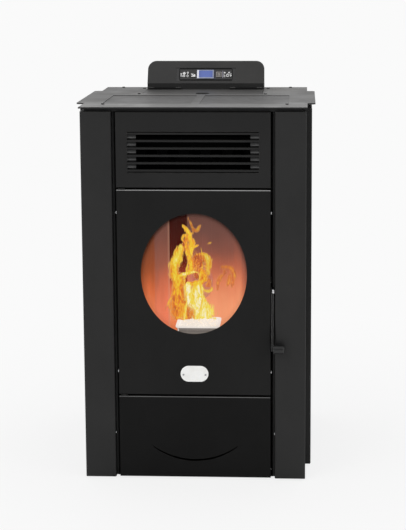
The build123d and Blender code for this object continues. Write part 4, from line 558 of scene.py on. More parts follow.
finishes = {
    "glass": fire_glass("glass"),
    "seal_rope": braided("seal_rope"),
    "badge_white": enamel("badge_white"),
    "screen": lit_screen("screen"),
    "board_green": circuit("board_green"),
    "liner_board": fired_board("liner_board", BRIGHT_GLOW),
    # The pot carries painted light: a white painted highlight at its mouth and a painted glow on its grey
    # front.
    "pot_steel": metal(
        "pot_steel", shade(96, 93, 90), shade(70, 66, 62), 0.5, 0.35, 0.85, (0.3, 0.0003), pot_painted_glow
    ),
}
for make, table in ((painted, PAINTS), (metal, METALS), (plastic, PLASTICS)):
    finishes.update({name: make(name, *values) for name, values in table.items()})

# Painted shade: the casings are nearly black where they lie in the groove beside the door.
casing_paint = painted("casing_paint", shade(32), 620.0, 0.52, 0.25, 0.04, 0.3, look=painted_shade(beside_groove))
by_node = {
    "left_side_casing": casing_paint,
    "right_side_casing": casing_paint,
    # The chute's finish carries painted firelight near the firebox.
    "feed_tube": metal(
        "lit_chute", shade(150, 148, 146), shade(90, 78, 72), 0.5, 0.6, 0.8, (0.3, 0.0003), chute_painted_glow
    ),
    "fireback": fired_board("fireback_board", BRIGHT_GLOW, fireback_glow),
    "right_liner": fired_board("left_board", SIDE_GLOW, left_glow),
    # Painted shade: the grille panel wears the posts' black coat, made a little darker.
    "grille_panel": painted("grille_panel_paint", shade(24), 620.0, 0.52, 0.25, 0.04, 0.27),
    "casing_screws": metal(
        "casing_screw", shade(222, 222, 224), shade(160, 158, 154), 0.24, 0.2, 0.9, look=dark_on_top
    ),
    # The louvre's closed ends carry painted light and shade in bands between the blades.
    "louvre_grille": painted("louvre_paint", shade(22), 620.0, 0.55, 0.25, 0.03, 0.3, look=louvre_painted_bands),
    "lid_hinge": painted("lid_hinge_paint", shade(20), 620.0, 0.5, 0.4, 0.05, 0.3),
    "top_plate": painted(
        "top_plate_coat", shade(46), 560.0, 0.34, 0.3, 0.14, bump=(0.3, 0.0002), look=plate_fields
    ),
    # Painted shade: the lid is nearly black on its knuckles.
    "hopper_lid": painted("lid_coat", shade(46), 560.0, 0.44, 0.3, 0.1, 0.3, look=painted_shade(under_lid)),
    # Painted shade: the drawer box is nearly black on its front wall, behind the grip slot.
    "drawer_box": painted(
        "drawer_steel", shade(46, 44, 42), 300.0, 0.75, 0.4, 0.08, 0.3, look=painted_shade(drawer_wall)
    ),
    "hinge_brackets": painted("hinge_paint", shade(20), 620.0, 0.5, 0.4, 0.03, 0.3),
    # Painted shade: the drawer front wears the posts' black coat, made darker still, lowest on the stove.
    "drawer_front": painted("drawer_paint", shade(8), 560.0, 0.5, 0.25, 0.02, 0.16),
    # Painted shade: the heat exchanger is nearly black, so that what lies behind the grille's slots reads as
    # shade.
    "heat_exchanger": painted("exchanger_steel", shade(5), 300.0, 0.9, 0.05, 0.0, 0.05),
}

for name, node in nodes.items():
    for socket in node.material_slots:
        socket.material = by_node.get(name, finishes[socket.material.name.split(".")[0]])


# ---- Pieces ----


def finish_piece(name, mesh, finish, body, smooth=True):
    """Makes a piece of a bmesh, with its place in its mesh, and says what it rides on."""
    made = bpy.data.meshes.new(name)
    mesh.to_mesh(made)
    mesh.free()
    made.materials.append(finish)
    for face in made.polygons:
        face.use_smooth = smooth
    piece = bpy.data.objects.new(name, made)
    bpy.context.scene.collection.objects.link(piece)
    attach(piece, body)
    return piece


def smooth_line(points, step):
    """Points a step apart along a smooth line; each point may carry more numbers than its place."""
    found = []
    last = len(points) - 1
    for i in range(last):
        near = [points[max(0, min(last, i + k))] for k in (-1, 0, 1, 2)]
        steps = max(2, round(math.dist(near[1][:2], near[2][:2]) / step))
        for t in (k / steps for k in range(steps)):
            found.append(tuple(
                0.5 * (2 * b + (c - a) * t + (2 * a - 5 * b + 4 * c - d) * t * t
                       + (3 * b - a - 3 * c + d) * t**3)
                for a, b, c, d in zip(*near)
            ))
    found.append(tuple(points[-1]))
    return found


FIRE_CELL = 1.3              # mm, one cell of a curtain of fire
FIRE_SOFT = 4.5              # mm, the least half-width over which a tongue fades
FIRE_FADE = 0.7              # how far beyond its edge a tongue is still felt, in soft half-widths


def cells_near(place, reach, low, most):
    """The cells along one side of a curtain that lie within reach of a place."""
    first, last = (int((place + way * reach - low) / FIRE_CELL) for way in (-1, 1))
    return range(max(0, first), min(most, last + 1) + 1)


def flame_material(name, body, ragged):
    """A curtain's fire; body says how solid it looks, and ragged how torn its edges are."""
    g = Finish(name)
    fire = g.group(FLAME_BODY, Body=body, Ragged=ragged)
    return g.dress(
        Base_Color=BLACK, Specular_IOR_Level=0.0, Roughness=1.0, Alpha=fire["Alpha"],
        Emission_Color=fire["Glow"], Emission_Strength=1.0,
    )


def fire_curtain(name, tongues, place, body, ragged):
    """A bowed curtain of fire: each tongue is a heat and a line of (across, up, width) in mm."""
    lines = [(heat, smooth_line(line, 1.2)) for heat, line in tongues]
    spots = [(x, z, (1.18 * abs(w) + 1.2) / 2, heat) for heat, line in lines for x, z, w in line]
    low_x = min(x - r for x, z, r, heat in spots) - FIRE_SOFT
    high_x = max(x + r for x, z, r, heat in spots) + FIRE_SOFT
    low_z = max(POT_RIM / MM - 1.0, min(z - r for x, z, r, heat in spots) - FIRE_SOFT)
    high_z = max(z + r for x, z, r, heat in spots) + FIRE_SOFT
    columns = round((high_x - low_x) / FIRE_CELL)
    rows = round((high_z - low_z) / FIRE_CELL)
    depth = {}
    for x, z, r, heat in spots:
        soft = max(r, FIRE_SOFT)
        reach = r + FIRE_FADE * soft
        for row in cells_near(z, reach, low_z, rows):
            for column in cells_near(x, reach, low_x, columns):
                away = math.hypot(low_x + column * FIRE_CELL - x, low_z + row * FIRE_CELL - z)
                inside = (r - away) / soft
                if inside > -FIRE_FADE:
                    weight = (inside + FIRE_FADE) ** 4
                    most, total, summed = depth.get((column, row), (-1.0, 0.0, 0.0))
                    depth[(column, row)] = (max(most, inside), total + weight, summed + weight * heat)
    mesh = bmesh.new()
    flow = mesh.loops.layers.uv.new("flow")
    bmesh.ops.create_grid(mesh, x_segments=columns, y_segments=rows, size=1.0)
    cells = {}
    for corner in mesh.verts:
        cell = (round((corner.co.x + 1) / 2 * columns), round((corner.co.y + 1) / 2 * rows))
        cells[corner] = depth.get(cell)
        corner.co = place(low_x + cell[0] * FIRE_CELL, low_z + cell[1] * FIRE_CELL)
    bmesh.ops.delete(mesh, geom=[corner for corner, found in cells.items() if found is None], context="VERTS")
    for face in mesh.faces:
        for loop in face.loops:
            inside, total, summed = cells[loop.vert]
            loop[flow].uv = (min(1.0, max(0.0, (inside + 1.0) / 2)), summed / max(total, 1e-6))
    piece = finish_piece(name, mesh, flame_material(name, body, ragged), "burn_pot")
    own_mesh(piece)


def facing_front(depth, bow):
    """Places a curtain across the stove, a little rounded towards the door."""

    def place(x, z):
        deep = FRONT + depth - bow * math.cos(x / 45.0) + 0.004 * math.sin(z / 19.0)
        return Vector((x * MM, deep, z * MM))

    return place


def facing_side(x, middle):
    """Places a curtain from front to back, a little rounded."""
    return lambda y, z: Vector((x + 0.004 * math.sin(z / 17.0 + y / 12.0), middle + y * MM, z * MM))


FRONT_TONGUES = [
    (0.16, [(-35, 319, 40), (-42, 333, 46), (-47, 353, 33), (-46, 371, 24), (-47, 387, 25), (-47, 401, 27),
            (-53, 414, 24), (-56, 424, 21)]),
    (0.62, [(-47, 371, 14), (-47, 387, 19), (-47, 401, 21), (-53, 414, 19), (-56, 424, 17)]),
    (0.62, [(-55, 421, 24), (-54, 437, 23), (-47, 452, 19), (-41, 466, 15), (-39, 475, 8), (-41, 482, 1)]),
    (0.45, [(-55, 441, 9), (-52, 456, 8), (-49, 467, 6), (-48, 477, 1)]),
    (0.95, [(-47, 409, 11), (-34, 414, 8), (-21, 418, 7), (-12, 420, 5), (-3, 419, 1)]),
    (0.75, [(-55, 401, 11), (-51, 415, 9), (-53, 430, 8), (-53, 443, 4)]),
    (0.35, [(-23, 417, 9), (-16, 432, 11), (-19, 447, 11), (-23, 460, 9), (-27, 471, 9), (-28, 485, 4)]),
    (1.0, [(-72, 342, 1), (-66, 354, 3), (-60, 364, 3), (-53, 375, 3), (-51, 386, 1)]),
    (0.95, [(-66, 338, 1), (-59, 353, 2), (-53, 365, 2), (-49, 375, 1)]),
]
MIDDLE_TONGUES = [
    (0.5, [(-19, 457, 9), (-19, 472, 15), (-16, 483, 15), (-21, 494, 12), (-23, 504, 10), (-28, 512, 8),
           (-33, 519, 6), (-36, 523, 1)]),
    (0.45, [(-24, 489, 7), (-30, 499, 6), (-35, 497, 5), (-37, 491, 4), (-33, 484, 1)]),
    (0.45, [(-20, 471, 8), (-10, 475, 5), (-3, 478, 3), (3, 480, 1)]),
    (0.05, [(-32, 470, 7), (-32, 481, 10), (-28, 491, 7), (-25, 500, 1)]),
    (0.90, [(-19, 319, 30), (-21, 337, 29), (-24, 353, 26), (-25, 366, 22), (-25, 377, 18), (-25, 388, 10),
            (-27, 396, 1)]),
    (0.90, [(6, 319, 52), (4, 334, 43), (-1, 347, 32), (-6, 361, 26), (-6, 374, 25), (-4, 384, 20),
            (-3, 392, 10), (-1, 397, 1)]),
    (0.85, [(31, 323, 4), (23, 338, 4), (15, 351, 4), (7, 366, 3), (5, 380, 1)]),
    (0.25, [(-19, 390, 8), (0, 393, 13), (11, 403, 13), (7, 414, 14), (4, 422, 11)]),
]
BACK_TONGUES = [
    (0.02, [(-5, 404, 11), (-8, 423, 26), (-6, 438, 30), (1, 449, 23), (3, 459, 1)]),
    (0.5, [(10, 404, 11), (17, 415, 11), (19, 429, 12), (21, 440, 14), (17, 450, 12), (8, 457, 8),
           (-3, 457, 6), (-11, 451, 5), (-16, 440, 4), (-17, 428, 1)]),
    (0.8, [(13, 453, 6), (18, 446, 10), (19, 438, 6), (18, 432, 1)]),
    (0.1, [(11, 415, 15), (13, 402, 11), (22, 393, 9), (21, 384, 8), (13, 385, 1)]),
    (0.6, [(6, 382, 3), (11, 374, 5), (20, 373, 6), (27, 378, 5), (23, 384, 3), (15, 383, 1)]),
    (0.5, [(15, 383, 3), (19, 392, 6), (23, 397, 1)]),
]
WISP_TONGUES = [
    (0.1, [(45, 423, 3), (55, 426, 6), (67, 424, 8), (74, 415, 8), (76, 402, 8), (72, 385, 6), (71, 377, 1)]),
    (0.15, [(39, 373, 6), (40, 388, 9), (45, 400, 8), (49, 409, 1)]),
    (0.3, [(-16, 518, 1), (-13, 510, 5), (-7, 506, 6), (-2, 513, 5), (2, 520, 1)]),
    (0.2, [(-25, 537, 1), (-23, 530, 4), (-18, 521, 4), (-15, 510, 3), (-14, 497, 1)]),
    (0.5, [(14, 475, 1), (21, 479, 3), (28, 481, 1)]),
    (0.1, [(61, 381, 4), (65, 396, 9), (67, 409, 1)]),
    (0.05, [(51, 402, 1), (55, 413, 7), (52, 421, 1)]),
]
SIDE_TONGUES = [
    (0.85, [(-4, 318, 34), (-2, 345, 30), (2, 362, 24), (4, 382, 18), (-2, 398, 10), (-4, 408, 1)]),
    (0.5, [(6, 318, 26), (10, 352, 22), (5, 380, 20), (8, 408, 18), (12, 432, 12), (8, 456, 8), (6, 474, 1)]),
    (0.45, [(-8, 318, 22), (-12, 350, 16), (-8, 374, 12), (-12, 396, 9), (-16, 414, 1)]),
]

POT_MIDDLE = (pot_low.y + pot_high.y) / 2
fire_curtain("flame_wisps", WISP_TONGUES, facing_front(0.184, 0.002), 0.62, 0.34)
fire_curtain("flame_back", BACK_TONGUES, facing_front(0.174, 0.004), 0.74, 0.28)
fire_curtain("flame_middle", MIDDLE_TONGUES, facing_front(0.167, 0.005), 0.97, 0.20)
fire_curtain("flame_front", FRONT_TONGUES, facing_front(0.160, 0.006), 0.93, 0.22)
fire_curtain("flame_side_left", SIDE_TONGUES, facing_side(-0.030, POT_MIDDLE + 0.018), 0.9, 0.4)
fire_curtain("flame_side_right", SIDE_TONGUES, facing_side(0.004, POT_MIDDLE + 0.020), 0.9, 0.4)


def turned(mesh, profile, place, axis):
    """Adds a turned form: (along, radius) points in mm, spun about an axis through a place."""
    along = Vector(axis)
    side = along.orthogonal().normalized()
    start = [mesh.verts.new(Vector(place) + along * a * MM + side * r * MM) for a, r in profile]
    edges = [mesh.edges.new(pair) for pair in zip(start, start[1:])]
    before = set(mesh.faces)
    turn = {"cent": place, "axis": along, "angle": 2 * math.pi, "steps": 24, "use_merge": True}
    bmesh.ops.spin(mesh, geom=start + edges, **turn)
    made = [face for face in mesh.faces if face not in before]
    bmesh.ops.remove_doubles(mesh, verts=list({corner for face in made for corner in face.verts}), dist=1e-6)
    bmesh.ops.recalc_face_normals(mesh, faces=[face for face in mesh.faces if face not in before])


def corners_of(grown):
    """The corners among what an operator returned."""
    return [item for item in grown["geom"] if isinstance(item, bmesh.types.BMVert)]


def drawn_out(mesh, faces, way):
    """Draws flat faces out to a solid along a way."""
    grown = bmesh.ops.extrude_face_region(mesh, geom=faces, use_keep_orig=True)
    bmesh.ops.translate(mesh, verts=corners_of(grown), vec=way)


def eased(mesh, edges, offset):
    """Takes the sharpness off edges, once the faces look outwards."""
    bmesh.ops.bevel(mesh, geom=edges, affect="EDGES", offset=offset, segments=2, profile=0.5, material=-1)


# Latch: the polished end of its shaft
PIVOT_PROFILE = [
    (-4.2, 0.0), (-4.2, 2.8), (-3.4, 4.4), (-1.4, 5.6), (0.6, 5.9), (2.6, 5.3), (4.0, 3.8), (4.6, 2.0),
    (4.6, 1.2), (4.0, 0.0),
]
pivot = bmesh.new()
turned(pivot, PIVOT_PROFILE, (0.1664, FRONT + 0.008, 0.4105), (1.0, 0.0, 0.0))
finish_piece("latch_pivot", pivot, finishes["screw_steel"], "latch")

# Door: domed screw heads on its side edges
HEAD_PROFILE = [(-0.4, 0.0), (-0.4, 3.4), (0.6, 3.4), (1.6, 2.9), (2.4, 1.9), (2.6, 1.0), (2.1, 0.0)]
heads = bmesh.new()
screw_low, screw_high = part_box("door_screws")
for side in (-1, 1):
    for height in (screw_low.z + 0.0025, screw_high.z - 0.0025):
        turned(heads, HEAD_PROFILE, (side * 0.1615, FRONT + 0.006, height), (side, 0.0, 0.0))
finish_piece("door_screw_heads", heads, finishes["screw_steel"], "door")

# Badge: two rivets
RIVET_PROFILE = [(-0.3, 0.0), (-0.3, 2.1), (0.2, 2.1), (0.7, 1.6), (0.9, 0.7), (0.7, 0.0)]
rivets = bmesh.new()
badge_low, badge_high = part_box("badge_plate")
rivet_height = (badge_low.z + badge_high.z) / 2 - 0.002
for side in (-1, 1):
    turned(rivets, RIVET_PROFILE, (side * 0.0233, badge_low.y, rivet_height), (0.0, -1.0, 0.0))
finish_piece("badge_rivets", rivets, finishes["motor_metal"], "door")

# Chute: the collar that carries it through the back of the fire, cut off upright in front of the board
COLLAR_START = Vector((0.0, FRONT + 0.262, 0.40654))
COLLAR_BORE = 0.0233
COLLAR_WALL = 0.00285
COLLAR_FRONT = FRONT + 0.2315
collar = bmesh.new()
sloped = Matrix.Translation(COLLAR_START) @ Matrix.Rotation(math.radians(135), 4, "X")
bmesh.ops.create_circle(collar, segments=48, radius=COLLAR_BORE, matrix=sloped)
for corner in corners_of(bmesh.ops.extrude_edge_only(collar, edges=list(collar.edges))):
    run = corner.co.y - COLLAR_FRONT
    corner.co += Vector((0.0, -run, -run))
bmesh.ops.recalc_face_normals(collar, faces=collar.faces)
bmesh.ops.solidify(collar, geom=list(collar.faces), thickness=-COLLAR_WALL)
# The collar takes the chute's finish, with its painted firelight.
finish_piece("chute_collar", collar, by_node["feed_tube"], "stove")

# Casings: angles along each inner edge, short at the foot and long beside the grille, which close the groove;
# their nearly black finish is painted shade in the groove
ANGLE = [(159.8, 14.2), (166.5, 14.2), (166.5, 22.0), (165.3, 22.0), (165.3, 15.4), (159.8, 15.4)]
angles = bmesh.new()
for side in (-1, 1):
    for low, tall in ((0.0025, 0.0160), (0.6700, 0.1180)):
        corners = [angles.verts.new((side * x * MM, FRONT + deep * MM, low)) for x, deep in ANGLE]
        drawn_out(angles, [angles.faces.new(corners)], (0.0, 0.0, tall))
bmesh.ops.recalc_face_normals(angles, faces=angles.faces)
eased(angles, list(angles.edges), 0.0002)
# The angles take the exchanger's nearly black finish as painted shade in the groove.
finish_piece("casing_angles", angles, by_node["heat_exchanger"], "stove")

# Lid: rubber edging round its finger slot
ALONG_X = Matrix.Rotation(math.pi / 2, 4, "Y")
EDGING = 0.0013
SLOT_HALF, SLOT_ROUND = 0.0075, 0.0065
slot_middle = Vector((0.0, FRONT + 0.303, 0.8003))
start = Matrix.Translation(slot_middle + Vector((-SLOT_HALF, -SLOT_ROUND, 0.0)))
edging = bmesh.new()
bmesh.ops.create_circle(edging, segments=12, radius=EDGING, matrix=start @ ALONG_X)
rim = list(edging.edges)
for side in (1, -1):
    grown = bmesh.ops.extrude_edge_only(edging, edges=rim)
    ends = corners_of(grown)
    bmesh.ops.translate(edging, verts=ends, vec=(2 * side * SLOT_HALF, 0.0, 0.0))
    sides = [item for item in grown["geom"] if isinstance(item, bmesh.types.BMEdge)]
    rim = [edge for edge in sides if all(corner in ends for corner in edge.verts)]
    centre = slot_middle + Vector((side * SLOT_HALF, 0.0, 0.0))
    turn = {"cent": centre, "axis": (0.0, 0.0, 1.0), "angle": math.pi, "steps": 14}
    swept = bmesh.ops.spin(edging, geom=ends + rim, **turn)
    rim = [item for item in swept["geom_last"] if isinstance(item, bmesh.types.BMEdge)]
bmesh.ops.remove_doubles(edging, verts=edging.verts, dist=1e-6)
bmesh.ops.recalc_face_normals(edging, faces=edging.faces)
finish_piece("slot_edging", edging, plastic("slot_rubber", shade(8), 0.75), "lid")

# Door and drawer: the rounded upper edge of each folded front, painted much lighter than the front as a
# painted highlight from above
LIP_HALF, LIP_RADIUS = 0.1606, 0.0010
for name, body, top, tone, loss in (
    ("door_lip", "door", 0.626, 150, 0.34),
    ("drawer_lip", "ash_drawer", 0.1815, 84, 0.36),
):
    lip = bmesh.new()
    bmesh.ops.create_circle(lip, cap_ends=True, segments=20, radius=LIP_RADIUS, matrix=ALONG_X)
    bmesh.ops.translate(lip, verts=lip.verts, vec=(-LIP_HALF, FRONT + LIP_RADIUS, top - 0.0003))
    drawn_out(lip, list(lip.faces), (2 * LIP_HALF, 0.0, 0.0))
    bmesh.ops.recalc_face_normals(lip, faces=lip.faces)
    eased(lip, [edge for edge in lip.edges if abs(edge.calc_face_angle(0.0)) > 1.0], 0.0004)
    finish_piece(name, lip, painted(f"{name}_paint", shade(tone), 560.0, loss, 0.2, 0.1), body)


# ---- Console: screen frame, signs on the keys, painted shadow strips ----

SLOPE = math.atan2(27.0, 50.0)
SLOPE_OUT = Vector((0.0, -math.cos(SLOPE), math.sin(SLOPE)))
SLOPE_UP = Vector((0.0, math.sin(SLOPE), math.cos(SLOPE)))
SLOPE_MIDDLE = Vector((0.0, FRONT + 0.416, 0.814)) + SLOPE_UP * 0.0228


def on_slope(x, up, out):
    """A place on the console's slope, in mm from the middle of its panel and above its face."""
    return SLOPE_MIDDLE + Vector((x * MM, 0.0, 0.0)) + SLOPE_UP * up * MM + SLOPE_OUT * out * MM


def thicken(mesh, faces, thick):
    """Gives flat faces on the slope a thickness towards the viewer."""
    bmesh.ops.recalc_face_normals(mesh, faces=faces)
    for face in faces:
        face.normal_update()
        if face.normal.dot(SLOPE_OUT) < 0.0:
            face.normal_flip()
    bmesh.ops.solidify(mesh, geom=faces, thickness=-thick * MM)


def add_stroke(mesh, line, width, out, thick=0.14):
    """Adds a raised stroke along (x, up) points on the slope."""
    left, right = [], []
    for i, (x, up) in enumerate(line):
        (x0, u0), (x1, u1) = line[max(0, i - 1)], line[min(len(line) - 1, i + 1)]
        long = math.hypot(x1 - x0, u1 - u0)
        nx, nu = -(u1 - u0) / long * width / 2, (x1 - x0) / long * width / 2
        left.append(mesh.verts.new(on_slope(x + nx, up + nu, out)))
        right.append(mesh.verts.new(on_slope(x - nx, up - nu, out)))
    faces = [mesh.faces.new((left[i], right[i], right[i + 1], left[i + 1])) for i in range(len(line) - 1)]
    thicken(mesh, faces, thick)


def ring_line(x, up, radius, start=0, end=360, steps=16):
    """Points round part of a circle, from start to end in degrees."""
    turns = [math.radians(start + (end - start) * k / steps) for k in range(steps + 1)]
    return [(x + radius * math.cos(turn), up + radius * math.sin(turn)) for turn in turns]


def star_lines(x, up, radius, arms):
    """Lines that cross in one point, evenly turned."""
    turns = [math.pi * k / arms for k in range(arms)]
    ways = [(radius * math.cos(turn), radius * math.sin(turn)) for turn in turns]
    return [[(x - dx, up - du), (x + dx, up + du)] for dx, du in ways]


KEY_FACE, BEZEL_FACE = -0.4, -1.2
KEY_SIGNS = {
    "key_1": (-53.6, "white", 1.3, [
        *star_lines(2.6, 2.4, 3.7, 4), [(-4.6, -5.6), (-4.6, 1.6)], [(-6.0, 0.2), (-4.6, 2.6), (-3.2, 0.2)],
        ring_line(2.6, -4.2, 1.7), [(-1.6, -6.0), (-1.6, -2.4)],
    ]),
    "key_2": (-29.6, "white", 1.7, [
        [(-4.6, -5.0), (4.8, -5.0)], [(-3.0, -3.6), (4.8, -3.6)], [(-0.8, -2.2), (4.8, -2.2)],
        [(1.4, -0.8), (4.8, -0.8)], [(-5.0, 1.6), (-2.4, -0.8), (-0.2, 1.6)],
    ]),
    "key_3": (30.4, "pale", 1.2, [
        [(-5.6, 5.8), (5.6, 5.8), (5.6, -5.8), (-5.6, -5.8), (-5.6, 6.3)], [(-3.2, 2.6), (3.2, 2.6)],
        [(-3.2, 0.0), (3.2, 0.0)], [(-3.2, -2.6), (3.2, -2.6)],
    ]),
    "key_4": (53.8, "white", 1.3, [
        ring_line(-2.6, -2.2, 3.2, 125, 415), [(-2.6, -1.4), (-2.6, 2.2)], [(4.8, 3.0), (4.8, -4.2)],
        [(3.2, -2.8), (4.8, -5.4), (6.2, -2.8)], *star_lines(0.6, 4.4, 2.0, 3),
    ]),
}
BEZEL_SIGNS = [
    *star_lines(-42.6, 4.6, 2.8, 3), ring_line(-42.8, -3.6, 2.0), [(-42.8, -1.0), (-42.8, 1.2)],
    *star_lines(44.0, 4.6, 2.4, 3), [(42.6, -6.4), (42.6, 0.6)], [(44.6, -6.4), (44.6, -1.6)],
]


def strokes(name, lines, out, thick, finish, body="stove"):
    """A piece of raised strokes, each line given with its width."""
    mesh = bmesh.new()
    for line, width in lines:
        add_stroke(mesh, line, width, out, thick)
    finish_piece(name, mesh, finish, body, smooth=False)


def printed(name, tone):
    """A pad-printed sign: even ink, a little thinner in places."""
    g = Finish(name)
    ink = g.noise(g.spot(), 420.0, 3.0)
    colour = g.ramp(ink, (0.3, tone), (0.75, tuple(v * 0.86 for v in tone)))
    return g.dress(Base_Color=colour, Roughness=g.fit(ink, 0.3, 0.7, 0.4, 0.55))


inks = {"white": printed("white_ink", shade(250)), "pale": printed("pale_ink", shade(176, 170, 166))}
for body, (middle, ink, width, lines) in KEY_SIGNS.items():
    moved = [([(middle + x, up) for x, up in line], width) for line in lines]
    strokes(f"{body}_sign", moved, KEY_FACE + 0.01, 0.14, inks[ink], body)
strokes("bezel_signs", [(line, 0.9) for line in BEZEL_SIGNS], BEZEL_FACE + 0.01, 0.14, inks["white"])


def screen_border(name, outside, inside, out, thick, finish):
    """A flat border on the slope between two rectangles, each given as (left, bottom, right, top) in mm."""
    border = bmesh.new()
    rings = []
    for left, bottom, right, top in (outside, inside):
        corners = ((left, bottom), (right, bottom), (right, top), (left, top))
        rings.append([border.verts.new(on_slope(x, up, out)) for x, up in corners])
    outer, inner = rings
    sides = [border.faces.new((outer[i], outer[(i + 1) % 4], inner[(i + 1) % 4], inner[i])) for i in range(4)]
    thicken(border, sides, thick)
    finish_piece(name, border, finish, "stove", smooth=False)


def frame_painted_highlight(g, plain):
    """The screen's frame has a painted highlight on its broad left side."""
    return {"Base_Color": g.mix(g.fit(g.place()["X"], -0.0163, -0.0168), plain, shade(228, 230, 240))}


SCREEN_FACE = -1.66
FRAME_EDGES = (-20.8, -9.6, 18.5, 11.8)
# The frame carries a painted highlight on its left side.
anodised = metal(
    "screen_frame", shade(158, 164, 186), shade(130, 136, 160), 0.42, 0.4, 0.7, (0.25, 0.0001), frame_painted_highlight
)
mask_plastic = plastic("mask_plastic", shade(22), 0.5)
screen_border("screen_frame", FRAME_EDGES, (-16.4, -6.8, 15.8, 10.0), SCREEN_FACE, 0.5, anodised)
screen_border("screen_mask", (-21.0, -12.0, 21.0, 12.0), FRAME_EDGES, SCREEN_FACE, 0.4, mask_plastic)

# Painted shadow: black strips round the bezel's recess stand in for the shadow lines at its edges.
SHADOW_STRIP_SIDES = [
    ([(-61.0, 14.8), (61.0, 14.8)], 2.3), ([(-61.0, -13.9), (61.0, -13.9)], 2.6),
    ([(-61.9, -12.4), (-61.9, 13.4)], 1.4), ([(61.9, -12.4), (61.9, 13.4)], 1.4),
]
divider_metal = metal("divider_metal", shade(190, 186, 200), shade(160, 156, 170), 0.4, 0.3)
strokes("panel_shadow_strip", SHADOW_STRIP_SIDES, BEZEL_FACE - 0.05, 1.1, plastic("shadow_strip_black", shade(3), 0.9))
strokes("panel_divider", [([(39.6, -8.5), (39.6, 9.5)], 0.9)], BEZEL_FACE - 0.05, 0.3, divider_metal)


# ---- Bed of burning pellets ----


def embers():
    """Burning pellets: white heat on most of them, warmer tones in the hollows, and a little ash."""
    g = Finish("embers")
    heat = g.noise(g.spot(), 130.0, 4.0, 0.6)
    return g.dress(
        (g.noise(g.spot(), 500.0, 4.0), 0.5, 0.0004),
        Emission_Color=g.ramp(heat, (0.30, 250, 232, 204), (0.46, 250, 245, 238), (0.8, 250, 245, 238)),
        Base_Color=g.ramp(heat, (0.3, 150, 140, 130), (0.6, 60, 52, 46)),
        Emission_Strength=0.93, Roughness=0.95,
    )


POT_INSET = 0.0052
PELLETS, PELLET_RADIUS = 150, 0.003
PELLET_LEAN = 0.22           # radians, how far a pellet leans from lying flat at the most
half_x = (pot_high.x - pot_low.x) / 2 - POT_INSET
half_y = (pot_high.y - pot_low.y) / 2 - POT_INSET
pot_x = (pot_low.x + pot_high.x) / 2
bed = bmesh.new()
made = bmesh.ops.create_grid(bed, x_segments=26, y_segments=24, size=1.0)
for corner in made["verts"]:
    x, y = corner.co.x * half_x, corner.co.y * half_y
    wave = 0.0012 * math.sin(x * 420.0) * math.cos(y * 510.0 + x * 200.0)
    corner.co = Vector((pot_x + x, POT_MIDDLE + y, POT_RIM - 0.006 + wave))
for _ in range(PELLETS):
    length = random.uniform(0.010, 0.019)
    x = random.uniform(-1.0, 1.0) * (half_x - length / 2 - PELLET_RADIUS)
    y = random.uniform(-1.0, 1.0) * (half_y - length / 2 - PELLET_RADIUS)
    heap = 0.0045 * (1.0 - (x / half_x) ** 2) * (1.0 - (y / half_y) ** 2)
    lift = POT_RIM - 0.0055 + random.uniform(0.0, 1.0) * (0.002 + heap)
    about = Matrix.Rotation(random.uniform(0.0, math.pi), 4, "Z")
    lean = Matrix.Rotation(math.pi / 2 + random.uniform(-PELLET_LEAN, PELLET_LEAN), 4, "Y")
    bmesh.ops.create_cone(
        bed, cap_ends=True, segments=8, radius1=PELLET_RADIUS, radius2=PELLET_RADIUS, depth=length,
        matrix=Matrix.Translation((pot_x + x, POT_MIDDLE + y, lift)) @ about @ lean,
    )
finish_piece("ember_bed", bed, embers(), "burn_pot")


# ---- Stage, light and camera ----

BACKDROP = shade(250)
stage_floor = bmesh.new()
bmesh.ops.create_circle(stage_floor, cap_ends=True, segments=64, radius=14.0)
floor_mesh = bpy.data.meshes.new("studio_floor")
stage_floor.to_mesh(floor_mesh)
stage_floor.free()
floor_piece = bpy.data.objects.new("studio_floor", floor_mesh)
bpy.context.scene.collection.objects.link(floor_piece)


def empty_graph(owner):
    """Clears the nodes of an owner; gives its graph, its light paths and a mask of what is seen."""
    owner.use_nodes = True
    owner.node_tree.nodes.clear()
    g = Graph(owner.node_tree)
    paths = g.add("ShaderNodeLightPath").outputs
    return g, paths, g.most(paths["Is Camera Ray"], paths["Is Transmission Ray"])


# The floor takes shadows near the stove and has the tone of the backdrop far away
pale = bpy.data.materials.new("studio_floor")
g, _, seen = empty_graph(pale)
lit = g.add("ShaderNodeBsdfDiffuse", {"Color": (0.86, 0.86, 0.86)})
plain = g.add("ShaderNodeEmission", {"Color": BACKDROP, "Strength": 1.0})
far = g.add("ShaderNodeVectorMath", {0: g.spot()}, operation="LENGTH")
plainness = g.fit(far.outputs["Value"], 0.35, 1.3, 0.84, 1.0)
sockets = {0: g.times(seen, plainness), 1: lit.outputs[0], 2: plain.outputs[0]}
g.add("ShaderNodeOutputMaterial", {"Surface": g.add("ShaderNodeMixShader", sockets).outputs[0]})
floor_mesh.materials.append(pale)

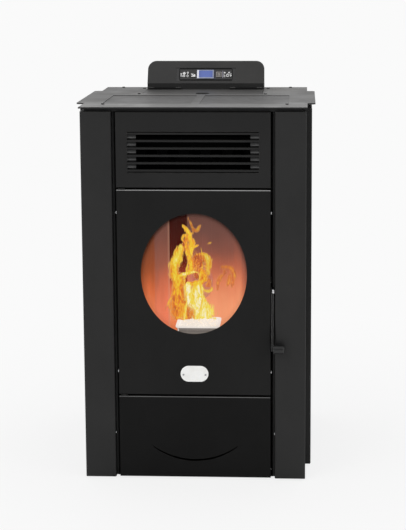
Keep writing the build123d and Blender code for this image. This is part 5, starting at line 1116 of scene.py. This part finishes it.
# The room is the backdrop where it is seen, brighter behind and above for mirrors, and soft for the rest
world = bpy.data.worlds.new("studio")
bpy.context.scene.world = world
g, paths, seen = empty_graph(world)
facing = g.add("ShaderNodeSeparateXYZ", {"Vector": g.add("ShaderNodeTexCoord").outputs["Generated"]}).outputs
behind = g.fit(facing["Y"], -0.35, 0.45, 0.16, 1.0)
above = g.fit(facing["Z"], 0.15, 0.75, 0.0, 0.75)
soft = g.fit(facing["Z"], -0.6, 0.9, 0.42, 0.85)
reflected = g.times(paths["Is Glossy Ray"], g.most(behind, above))
other = g.plus(reflected, g.times(g.less(1.0, paths["Is Glossy Ray"]), soft))
strength = g.plus(g.times(seen, BACKDROP[0]), g.times(g.less(1.0, seen), other))
background = g.add("ShaderNodeBackground", {"Color": (1.0, 1.0, 1.0), "Strength": strength})
g.add("ShaderNodeOutputWorld", {"Surface": background.outputs[0]})

for name, place, target, size, watts in (
    ("key_lamp", (-1.6, -2.2, 2.4), (0.0, 0.0, 0.45), (1.6, 1.6), 22.0),
    ("fill_lamp", (2.4, -1.6, 1.5), (0.0, 0.0, 0.45), (1.4, 1.8), 9.0),
    ("top_lamp", (0.0, 0.6, 2.8), (0.0, 0.0, 0.6), (2.0, 1.6), 16.0),
):
    lamp = bpy.data.lights.new(name, "AREA")
    lamp.shape = "RECTANGLE"
    lamp.size, lamp.size_y = size
    lamp.energy = watts
    piece = bpy.data.objects.new(name, lamp)
    piece.location = place
    piece.rotation_euler = (Vector(target) - Vector(place)).to_track_quat("-Z", "Y").to_euler()
    bpy.context.scene.collection.objects.link(piece)

lens = bpy.data.cameras.new("photo_camera")
lens.sensor_width = 36.0
lens.lens = 100.23
lens.shift_x, lens.shift_y = -0.06, -0.15
lens.clip_start, lens.clip_end = 0.1, 60.0
camera = bpy.data.objects.new("photo_camera", lens)
camera.location = (0.22697, -3.27218, 1.10409)
camera.rotation_euler = (1.41757, 0.0033, 0.04583)
bpy.context.scene.collection.objects.link(camera)
bpy.context.scene.camera = camera
bpy.context.scene.view_settings.view_transform = "Standard"
